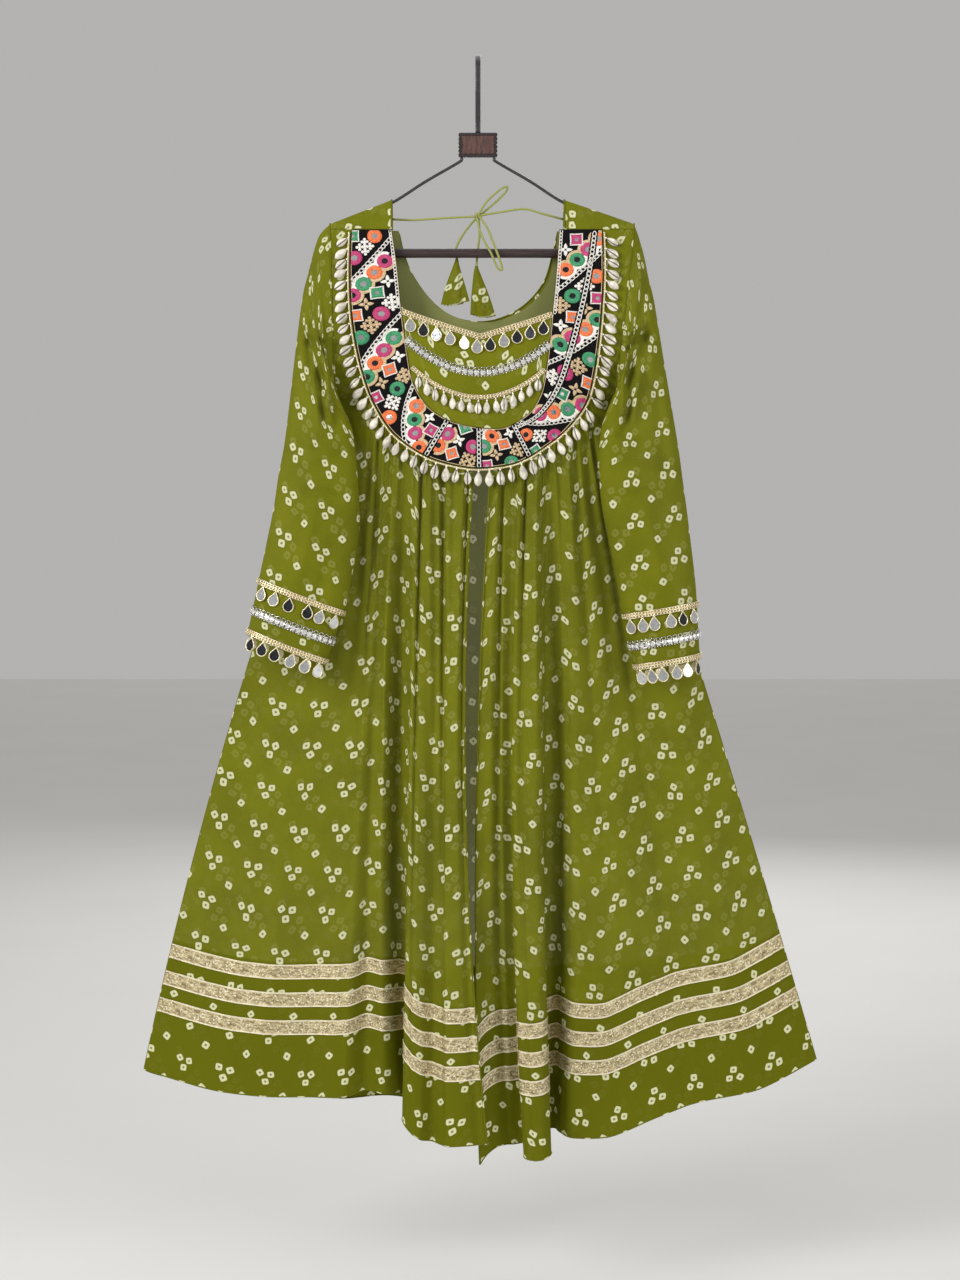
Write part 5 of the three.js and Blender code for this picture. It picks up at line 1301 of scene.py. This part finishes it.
# Both edges are sewn down under a couched beige cord.
for width in (1.6, BAND_WIDTH - 0.9):
    edge = on_band(np.linspace(1.5, band_run[-1] - 1.5, 420), np.full(420, width), np.full(420, 0.4))
    stitches.append(tube(edge, 0.5, 5, FLOSS_SLOT["beige"]))
band_stitches = dressed("embroidered_band_stitches", stitches, BAND_MATERIALS, "embroidered_band")


# ---------- Cowrie fringe
# Real money cowries, drilled at one end and hung with a small pearl from a twisted cord that is couched along
# the band's outer edge. They lean outward and turn freely, so some show the toothed slit and some the back.
FRINGE_COUNT = 57
COWRIE_LENGTH = 19.0
TRIM_LIFT = 1.0          # middle of the trims' thread over the cloth's middle
# The couched cord: out from the band's edge, over the cloth, radius, and length of one twist.
COUCHED = {"out": 2.4, "lift": 1.8, "radius": 1.3, "twist": 5.5}
ROOT_OUT = 3.6           # of the cowries' threads from the band's edge
SLIT_SHARE = 0.45        # of the cowries that show their slit
SHELL_STEP = 0.0338      # from one cowrie's place in its material to the next, so that no two are alike


def turned(stations_z, radii, around, slot, flat=1.0):
    """A solid of revolution about z, pointed at both ends and squeezed in y."""
    angle = full_turn(around)
    z = np.asarray(stations_z, float)
    radii = np.asarray(radii, float)[:, None]
    rings = beside(radii * np.cos(angle), flat * radii * np.sin(angle), z[1:-1, None])
    points = np.vstack([rings.reshape(-1, 3), [0, 0, z[0]], [0, 0, z[-1]]])
    count, ring = len(points), np.arange(around)
    last = (len(radii) - 1) * around + ring
    faces = [grid_quads(len(radii), around, closed=True),
             beside(np.roll(ring, -1), ring, np.full(around, count - 2)),
             beside(last, np.roll(last, -1), np.full(around, count - 1))]
    return points, faces, points[:, [0, 2]] * MM, slot


def bead(radius, centre_z, slot, around=8):
    """A round bead threaded on z."""
    latitude = np.linspace(-np.pi / 2, np.pi / 2, 6)
    return turned(centre_z + radius * np.sin(latitude), radius * np.cos(latitude[1:-1]), around, slot)


def placed(part, origins, across, out, down, uv_step=0.0):
    """Copies of a part, with its x, y and z laid along three directions at each origin."""
    points, polygons, uv, slot = part
    solid = np.einsum("nk,mkj->mnj", points, np.stack([across, out, down], 1)) + origins[:, None]
    shift = beside(np.zeros(len(origins)), np.arange(len(origins)) * uv_step)
    faces = repeated(polygons, len(points), len(origins))
    return solid.reshape(-1, 3), faces, (uv[None] + shift[:, None]).reshape(-1, 2), slot


def rolled(across, out, down, roll, tilt):
    """The same directions after a roll about `down` and a swing about `out`, in radians."""
    roll, tilt = np.asarray(roll)[:, None], np.asarray(tilt)[:, None]
    across, out = across * np.cos(roll) + out * np.sin(roll), out * np.cos(roll) - across * np.sin(roll)
    return across * np.cos(tilt) - down * np.sin(tilt), out, down * np.cos(tilt) + across * np.sin(tilt)


def square_to(out, way):
    """Directions `out`, turned until they stand square to `way`."""
    return unit(out - way * np.sum(out * way, axis=1, keepdims=True))


def points_at(line, run, at):
    """Points of a line at some running lengths, given its own."""
    return beside(*(np.interp(at, run, values) for values in line.T))


def front_out(x, z):
    """Directions off the front cloth."""
    return unit(beside((bodice_depth(x + 2, z, 1) - bodice_depth(x - 2, z, 1)) / 4, np.full(len(x), -1.0),
                       (bodice_depth(x, z + 2, 1) - bodice_depth(x, z - 2, 1)) / 4))


def hang_on_front(x, z, across_x, down_z, length):
    """Directions in which pieces of some length hang on the front cloth, given their way across."""
    way = unit(beside(across_x, np.zeros(len(x)), down_z))
    way[:, 1] = (bodice_depth(x, z, 1) - bodice_depth(x + way[:, 0] * length, z + way[:, 2] * length, 1)) / length
    return unit(way)


# Cowrie: an egg, wider towards its lower end. The under side is flatter, with a long toothed slit.
COWRIE_ROUND = 28
cowrie_z = np.array([0, 0.7, 1.8, 3.4, 5.2, 7.2, 9.2, 11.2, 13.2, 15.0, 16.6, 17.8, 18.6, COWRIE_LENGTH])
cowrie_wide = 5.3 * np.sin(np.pi * (cowrie_z[1:-1] / COWRIE_LENGTH) ** 1.25) ** 0.65


def cowrie(slot, slit):
    points, faces, uv, _ = turned(cowrie_z, cowrie_wide, COWRIE_ROUND, slot, flat=0.72)
    front = points[:, 1] > 0
    if slit:
        points[front, 1] *= 0.75
        along_slit = np.clip(np.sin(np.pi * points[:, 2] / COWRIE_LENGTH) * 1.6 - 0.35, 0, 1)
        points[:, 1] -= np.where(front, 1.5 * np.exp(-(points[:, 0] / 0.85) ** 2) * along_slit, 0)
    return points, faces, uv, slot


def shell_material(name, slit):
    """Glossy enamel of a cowrie: cream, with grey-violet and yellow clouds. The slit between the ridged lips, whose
    teeth are 1.3 mm apart, is painted dark brown as painted shade of the hollow inside the shell."""
    material, node = new_material(name)
    uv = node("TexCoord", output=UV)
    cloud = node("TexNoise", {"Vector": uv, "Scale": 70.0, "Detail": 3.0})
    cloud = node("MapRange", {"Value": cloud, "From Min": 0.38, "From Max": 0.66})
    tone = node("Mix", {0: cloud, 6: linear("#e3dccb"), 7: linear("#a8a092")}, 2, data_type="RGBA")
    bands = node("TexNoise", {"Vector": uv, "Scale": 160.0, "Detail": 2.0})
    bands = node("MapRange", {"Value": bands, "From Min": 0.55, "From Max": 0.8, "To Max": 0.6})
    tone = node("Mix", {0: bands, 6: tone, 7: linear("#857a66")}, 2, data_type="RGBA")
    if slit:
        # Painted shade: a dark brown slit with toothed edges stands for the shade inside the shell's opening.
        axes = node("SeparateXYZ", [uv]).node.outputs
        aside = node("Math.ABSOLUTE", [axes[0]])
        teeth = node("Math.MULTIPLY", [axes[1], 2 * math.pi / 0.0013])
        teeth = node("Math.SINE", [teeth])
        edge = node("Math.MULTIPLY_ADD", [teeth, 0.00045, 0.00095])
        painted_slit_shade = node("Math.SUBTRACT", [edge, aside])
        painted_slit_shade = node("MapRange", {"Value": painted_slit_shade, "From Min": 0.0, "From Max": 0.0003})
        tone = node("Mix", {0: painted_slit_shade, 6: tone, 7: linear("#3b2d24")}, 2, data_type="RGBA")
    shader = node("BsdfPrincipled", {"Base Color": tone, "Roughness": 0.28, "Coat Weight": 0.4,
                                     "Coat Roughness": 0.12})
    node("OutputMaterial", {"Surface": shader})
    return material


slit_shell = shell_material("cowrie_enamel_under_side", True)
back_shell = shell_material("cowrie_enamel_back", False)
SHELL_MATERIALS = [slit_shell, back_shell, gilt, pearl]


def hung_cowries(origins, out, down, size, lean):
    """Cowries hanging from origins, each with its pearl and thread, some slit outward and some back outward."""
    down = unit(down + out * lean)
    out = square_to(out, down)
    count = len(origins)
    frames = rolled(np.cross(out, down), out, down, rng.normal(0, 0.35, count), rng.normal(0, 0.07, count))
    scale = size * rng.uniform(0.93, 1.06, count)[:, None]
    slit_out = rng.random(count) < SLIT_SHARE
    origins = origins + out * 1.6
    parts = []
    for part, chosen in ((cowrie(0, True), slit_out), (cowrie(1, False), ~slit_out)):
        if chosen.any():
            parts.append(placed(part, (origins + frames[2] * 1.6)[chosen],
                                *(f[chosen] * scale[chosen] for f in frames), uv_step=SHELL_STEP))
    parts.append(placed(bead(1.35, 1.0, 3), origins, *frames))
    parts.append(placed(tube([[0, -0.8, -2.4], [0, 0.2, -0.6], [0, 0, 2.4]], 0.45, 5, 2), origins, *frames))
    return parts


def twisted_cord(line, radius, pitch, slot):
    """Two strands laid round each other along a line."""
    run = lengths_along(line)
    at = np.linspace(0, run[-1], int(run[-1] / 0.7))
    line = points_at(line, run, at)
    _, side, up = line_frames(line)
    turn = (at / pitch * 2 * np.pi)[:, None]
    return [tube(line + sign * radius * 0.55 * (side * np.cos(turn) + up * np.sin(turn)), radius * 0.62, 5, slot)
            for sign in (1, -1)]


edge_stations = np.linspace(0.12, len(BAND) - 1.12, 601)
edge_line = band_edges(edge_stations)[0]
edge_run = lengths_along(edge_line)
edge_points = points_at(edge_line, edge_run, np.linspace(0, edge_run[-1], 4 * FRINGE_COUNT + 1))
away = unit(beside(np.gradient(edge_points[:, 1]), -np.gradient(edge_points[:, 0])))
cord_x, cord_z = (edge_points + away * COUCHED["out"]).T
fringe_parts = twisted_cord(on_front(cord_x, cord_z, COUCHED["lift"]), COUCHED["radius"], COUCHED["twist"], 2)
root_away = away[2::4]
root_x, root_z = (edge_points[2::4] + root_away * ROOT_OUT).T
fringe_down = hang_on_front(root_x, root_z, root_away[:, 0] * 0.82, root_away[:, 1] - 0.55, COWRIE_LENGTH)
fringe_parts += hung_cowries(on_front(root_x, root_z, TRIM_LIFT), front_out(root_x, root_z), fringe_down, 1.0, 0.16)
dressed("cowrie_fringe_strung", fringe_parts, SHELL_MATERIALS, "cowrie_shell", "cowrie_fringe")


# ---------- Trims of the yoke
# A gilt braid with teardrop mirrors follows the neckline's V, a rhinestone chain and a gilt braid with cowries
# hang below it in curves. Each is a ready-made trimming, sewn down along its upper edge.
LACE_HEIGHT = 8.0
CHAIN_PITCH = 7.2
CHAIN_HEIGHT = 12.0
YOKE_CHAIN = {"start": (-88, -352), "end": (88, -358), "low": -393.0}
YOKE_COWRIES = {"start": (-82, -391), "end": (83, -394), "low": -428.0, "height": 7.0, "count": 15, "size": 0.85}
DROP_COUNT = 11
DROP = {"tip": 1.0, "round": 6.2, "round_at": 11.6, "middle": 10.6}     # below the lace; radius of its round end
DARK_DROPS = 0.3         # share of the drops given the darker mirror glass
DROP_LIFT = TRIM_LIFT + 0.4
STONE_AT = 6.9           # down the chain from its upper edge, as are the wire rings, rails and beads

# Rhinestones are foiled glass; their cups, rings and links are rhodium plate.
rhinestone = polished("foiled_rhinestone_glass", "#fbfaf7", 0.1, metallic=0.75, worn="#c6c4be", patch=260.0)
rhodium = polished("rhodium_plated_wire", "#dcdad5", 0.2, worn="#9a9993", patch=900.0)
braid_ground = polished("gilt_braid_ground", "#a8935f", 0.5, metallic=0.4, worn="#6b5a36", patch=1300.0)
TRIM_MATERIALS = [braid_ground, gilt, rhodium, rhinestone, bright_mirror, dark_mirror, pearl]
GROUND, WIRE, PLATE, STONE, GLASS, DARKER_GLASS, BEADS = range(7)


def faceted(part):
    """The same part with hard edges between its faces."""
    points, polygons, uv, slot = part
    solid, faces, flat_uv, offset = [], [], [], 0
    for array in polygons:
        solid.append(points[array.ravel()])
        flat_uv.append(uv[array.ravel()])
        faces.append(np.arange(array.size).reshape(array.shape) + offset)
        offset += array.size
    return np.vstack(solid), faces, np.vstack(flat_uv), slot


def wire_ring(half_x, half_z, thread, slot, centre=(0, 0, 0), around=14):
    """A closed ring of wire in the plane of the cloth."""
    angle = full_turn(around)
    loop = beside(half_x * np.cos(angle), np.zeros(around), half_z * np.sin(angle)) + centre
    return tube(loop, thread, 5, slot, closed=True)


def set_along(line, out, pitch, offset=0.5):
    """Origins and directions (along, out, down) at even steps along a line lying on cloth."""
    run = lengths_along(line)
    count = max(1, int(round(run[-1] / pitch)))
    at = (np.arange(count) + offset) * run[-1] / count
    along = unit(points_at(line, run, at + 0.5) - points_at(line, run, at - 0.5))
    origins, out = points_at(line, run, at), square_to(points_at(out, run, at), along)
    return origins, along, out, np.cross(along, out)


def braid(line, out, height):
    """A gilt braid: a woven ground with two rows of linked wire rings and a bead between them."""
    origins, along, off, down = set_along(line, out, 4.0)
    across_f = np.array([0.0, 0.5, height - 0.5, height])
    grid = line[:, None] + across_f[None, :, None] * np.cross(unit(np.gradient(line, axis=0)), out)[:, None]
    grid = grid + out[:, None] * np.array([0.2, 0.7, 0.7, 0.2])[None, :, None]
    uv = beside(lengths_along(line)[:, None], across_f[None]).reshape(-1, 2) * MM
    parts = [(grid.reshape(-1, 3), [grid_quads(len(line), 4)], uv, GROUND)]
    for share in (0.27, 0.73):
        middle = origins + down * height * share + off * 1.1
        parts.append(placed(wire_ring(2.6, height * 0.2, 0.55, WIRE), middle, along, off, down))
    parts.append(placed(bead(0.85, 0, WIRE, 6), origins + down * height * 0.5 + off * 1.3, along, off, down))
    return parts


def teardrop(reach):
    """Outline of a drop, x and z: a point at the top and a round lower end."""
    angle = np.linspace(math.radians(51), math.radians(309), 19)
    round_end = np.column_stack([np.sin(angle) * DROP["round"], DROP["round_at"] - np.cos(angle) * DROP["round"]])
    tip, thirds, middle = np.array([0, DROP["tip"]]), np.array([[0.34], [0.68]]), [0, DROP["middle"]]
    outline = np.vstack([tip, lerp(tip, round_end[0], thirds), round_end, lerp(round_end[-1], tip, thirds)])
    return (outline - middle) * reach + middle


def drop_plate(reach, y, slot):
    """The glass of a drop, or the plate behind it, at a height over the cloth."""
    outline = teardrop(reach)
    points = np.vstack([np.insert(outline, 1, y, axis=1), [0, y, DROP["middle"]]])
    count = len(outline)
    ring = np.arange(count)
    faces = beside(ring, np.roll(ring, -1), np.full(count, count))
    return faceted((points, [faces], points[:, [0, 2]] * MM, slot))


def beaded_rim():
    """The setting of a drop: wire pressed into 22 beads."""
    outline = teardrop(1.08)
    outline = np.vstack([outline, outline[:1]])
    run = lengths_along(outline)
    line = np.insert(points_at(outline, run, np.linspace(0, run[-1], 66, endpoint=False)), 1, 1.0, axis=1)
    radius = 0.62 + 0.33 * np.abs(np.sin(np.arange(66) * np.pi / 3))
    return tube(line, radius, 5, WIRE, closed=True)


def hung_mirrors(origins, out, down):
    """Teardrop mirrors in beaded rims, each on a small ring and turned a little its own way."""
    out = square_to(out, down)
    count = len(origins)
    frames = rolled(np.cross(out, down), out, down, rng.normal(0, 0.15, count), rng.normal(0, 0.05, count))
    dark = rng.random(count) < DARK_DROPS
    parts = [placed(beaded_rim(), origins, *frames), placed(drop_plate(1.1, 0.25, WIRE), origins, *frames),
             placed(wire_ring(1.3, 1.6, 0.4, WIRE, (0, 0.6, -0.2), 10), origins, *frames)]
    for slot, chosen in ((GLASS, ~dark), (DARKER_GLASS, dark)):
        if chosen.any():
            parts.append(placed(drop_plate(1.0, 1.25, slot), origins[chosen], *(f[chosen] for f in frames)))
    return parts


def stone_chain(line, out):
    """A chain of round stones in cups, with a wire ring over each and a fringe of tiny beads below."""
    origins, along, off, down = set_along(line, out, CHAIN_PITCH)
    stone = faceted(turned([0.2, 0.9, 1.8, 2.6, 2.8], [2.8, 3.1, 1.9], 8, STONE))
    stone = (stone[0][:, [0, 2, 1]] + [0, 0, STONE_AT], [array[:, ::-1] for array in stone[1]], stone[2], STONE)
    parts = [placed(part, origins, along, off, down) for part in (
        stone, wire_ring(3.3, 3.3, 0.45, PLATE, (0, 0.9, STONE_AT)), wire_ring(2.7, 2.0, 0.42, PLATE, (0, 0.7, 1.8)))]
    for offset in (0.25, 0.75):
        origins, along, off, down = set_along(line, out, CHAIN_PITCH, offset)
        parts.append(placed(bead(1.0, 0, PLATE, 6), origins + down * 11.2 + off * 0.9, along, off, down))
    for height in (3.6, 10.1):
        rail = line + out * 0.6 + np.cross(unit(np.gradient(line, axis=0)), out) * height
        parts.append(tube(rail, 0.4, 5, PLATE))
    return parts


def yoke_line(x, z):
    """A line on the yoke and the directions off it."""
    return on_front(x, z, TRIM_LIFT), front_out(x, z)


def sagging(sizes, f):
    (x0, z0), (x1, z1) = sizes["start"], sizes["end"]
    return lerp(x0, x1, f), lerp(z0, z1, f) - ((z0 + z1) / 2 - sizes["low"]) * (1 - (2 * f - 1) ** 2)


fine_f = np.linspace(0, 1, 121)
neck_from, neck_to = (band_edges(FRONT_NECK[end])[2][0, 0] + away for end, away in (("start", 2.5), ("end", -2.5)))
lace_x = lerp(neck_from, neck_to, fine_f)
drop_x = lerp(neck_from, neck_to, (np.arange(DROP_COUNT) + 0.5) / DROP_COUNT)
drop_z = front_neck_z(drop_x) + 1 - LACE_HEIGHT
level, straight_down = np.zeros(DROP_COUNT), -np.ones(DROP_COUNT)
neck_parts = braid(*yoke_line(lace_x, front_neck_z(lace_x) + 1), LACE_HEIGHT) + hung_mirrors(
    on_front(drop_x, drop_z, DROP_LIFT), front_out(drop_x, drop_z),
    hang_on_front(drop_x, drop_z, level, straight_down, COWRIE_LENGTH))
neck_lace = dressed("neck_lace_with_mirrors", neck_parts, TRIM_MATERIALS, "gold_mirror_lace", "neck_lace")
neck_chain = dressed("neck_chain_of_stones", stone_chain(*yoke_line(*sagging(YOKE_CHAIN, fine_f))), TRIM_MATERIALS,
                     "silver_chain_trim", "neck_chain")
cowrie_x, cowrie_top = sagging(YOKE_COWRIES, (np.arange(YOKE_COWRIES["count"]) + 0.5) / YOKE_COWRIES["count"])
root_z = cowrie_top - YOKE_COWRIES["height"]
cowrie_down = hang_on_front(cowrie_x, root_z, np.zeros(len(root_z)), -np.ones(len(root_z)), COWRIE_LENGTH)
shells = hung_cowries(on_front(cowrie_x, root_z, TRIM_LIFT), front_out(cowrie_x, root_z), cowrie_down,
                      YOKE_COWRIES["size"], 0.0)
shells = [(points, faces, uv, slot + len(TRIM_MATERIALS)) for points, faces, uv, slot in shells]
cowrie_lace = dressed("cowrie_lace_strung", braid(*yoke_line(*sagging(YOKE_COWRIES, fine_f)), 6.0) + shells,
                      TRIM_MATERIALS + SHELL_MATERIALS, "cowrie_shell", "cowrie_lace")


# ---------- Trims of the cuffs
# Round each cuff: a mirror lace, a rhinestone chain and a second mirror lace on the hem, so that its drops
# hang free below the sleeve. The drops sit on the front and back of the flattened cuff, none on its edges.
CUFF = {"lace_above": 66.0, "chain_above": 26.0, "hem_lace_above": 0.5}
CUFF_SEGMENTS = 16


def cuff_line(side, above):
    """Closed line round a sleeve at a distance above its edge, and the directions off it."""
    grid = sleeve_grids[side][::-1][:40, :-1]       # the lowest rows reach past the upper lace
    steps = np.linalg.norm(np.diff(grid, axis=0), axis=-1)
    up = np.vstack([np.zeros(grid.shape[1]), np.cumsum(steps, axis=0)])
    line, higher = (np.vstack([points_at(grid[:, i], up[:, i], [height]) for i in range(grid.shape[1])])
                    for height in (above, above + 4))
    around = unit(np.roll(line, -1, 0) - np.roll(line, 1, 0))
    out = unit(np.cross(around, higher - line))
    out *= np.where(np.sum(out * (line - line.mean(0)), axis=1).mean() < 0, -1, 1)
    return line, out


def cuff_track(side, above):
    """The same line closed on itself and run so that `down` points to the cuff's edge."""
    line, out = cuff_line(side, above)
    line = line + out * TRIM_LIFT
    if np.cross(unit(np.roll(line, -1, 0) - line), out)[:, 2].mean() > 0:
        line, out = line[::-1], out[::-1]
    return np.vstack([line, line[:1]]), np.vstack([out, out[:1]])


# Columns of the sleeve from which drops hang: six on its front and six on its back.
drop_share = (np.array([i for i in range(CUFF_SEGMENTS) if 1 <= i % 8 <= 6]) + 0.5) / CUFF_SEGMENTS
drop_columns = np.round((drop_share + 0.5) % 1 * SLEEVE_ROUND).astype(int) % SLEEVE_ROUND
for side_name, sleeve in sleeves.items():
    for name, above in (("upper", CUFF["lace_above"]), ("hem", CUFF["hem_lace_above"])):
        low_line, low_out = (values[drop_columns] for values in cuff_line(side_name, above))
        high_line = cuff_line(side_name, above + 3)[0][drop_columns]
        dressed(
            f"cuff_lace_{name}_{side_name}_with_mirrors",
            braid(*cuff_track(side_name, above + LACE_HEIGHT), LACE_HEIGHT)
            + hung_mirrors(low_line + low_out * DROP_LIFT, low_out, unit(low_line - high_line)),
            TRIM_MATERIALS, "gold_mirror_lace", f"cuff_lace_{name}_{side_name}")
    chain = dressed(f"cuff_chain_{side_name}_of_stones",
                    stone_chain(*cuff_track(side_name, CUFF["chain_above"] + CHAIN_HEIGHT)), TRIM_MATERIALS,
                    "silver_chain_trim", f"cuff_chain_{side_name}")


# ---------- Setting
# A pale painted studio floor well below the hem, even pale air all round, and five large soft boxes: a key
# from the front left that models the folds, a weaker fill, lights from above and behind, and one for the far floor.
FLOOR = {"z": -1.62, "size": 16.0}
AIR_STRENGTH = 0.62
LAMPS = {
    # place and width of each soft box in metres, and its power in watts
    "key": ((-2.4, -2.2, 0.6), 1.4, 92.0),
    "fill": ((2.2, -2.4, 0.3), 2.2, 52.0),
    "top": ((0.0, 0.6, 1.9), 2.0, 16.0),
    "back": ((0.6, 3.0, 0.4), 2.4, 34.0),
    "far": ((0.0, 9.0, 3.2), 8.0, 85.0),
}
AIM = Vector((0, 0, -0.75))

# Matt paint, barely uneven, so that the floor shows soft shadows and no reflection.
floor_paint = mottled("pale_floor_paint", ("#cfcecc", "#d5d4d2"), 3.0, 2.0, PLACE,
                      {"Roughness": 0.9, "Specular IOR Level": 0.1})
bpy.ops.mesh.primitive_plane_add(size=FLOOR["size"], location=(0, 0, FLOOR["z"]))
floor = bpy.context.object
floor.name = "floor"
floor.data.materials.append(floor_paint)

world = bpy.data.worlds.new("studio_air")
bpy.context.scene.world = world
world.use_nodes = True
air = world.node_tree.nodes["Background"].inputs
air[0].default_value = linear("#dedddb")
air[1].default_value = AIR_STRENGTH
for name, (place, size, watts) in LAMPS.items():
    lamp = bpy.data.lights.new(f"{name}_light", "AREA")
    lamp.size = size
    lamp.energy = watts
    box = bpy.data.objects.new(f"{name}_light", lamp)
    box.location = place
    box.rotation_euler = (AIM - box.location).to_track_quat("-Z", "Y").to_euler()
    bpy.context.scene.collection.objects.link(box)
bpy.context.scene.view_settings.view_transform = "Standard"
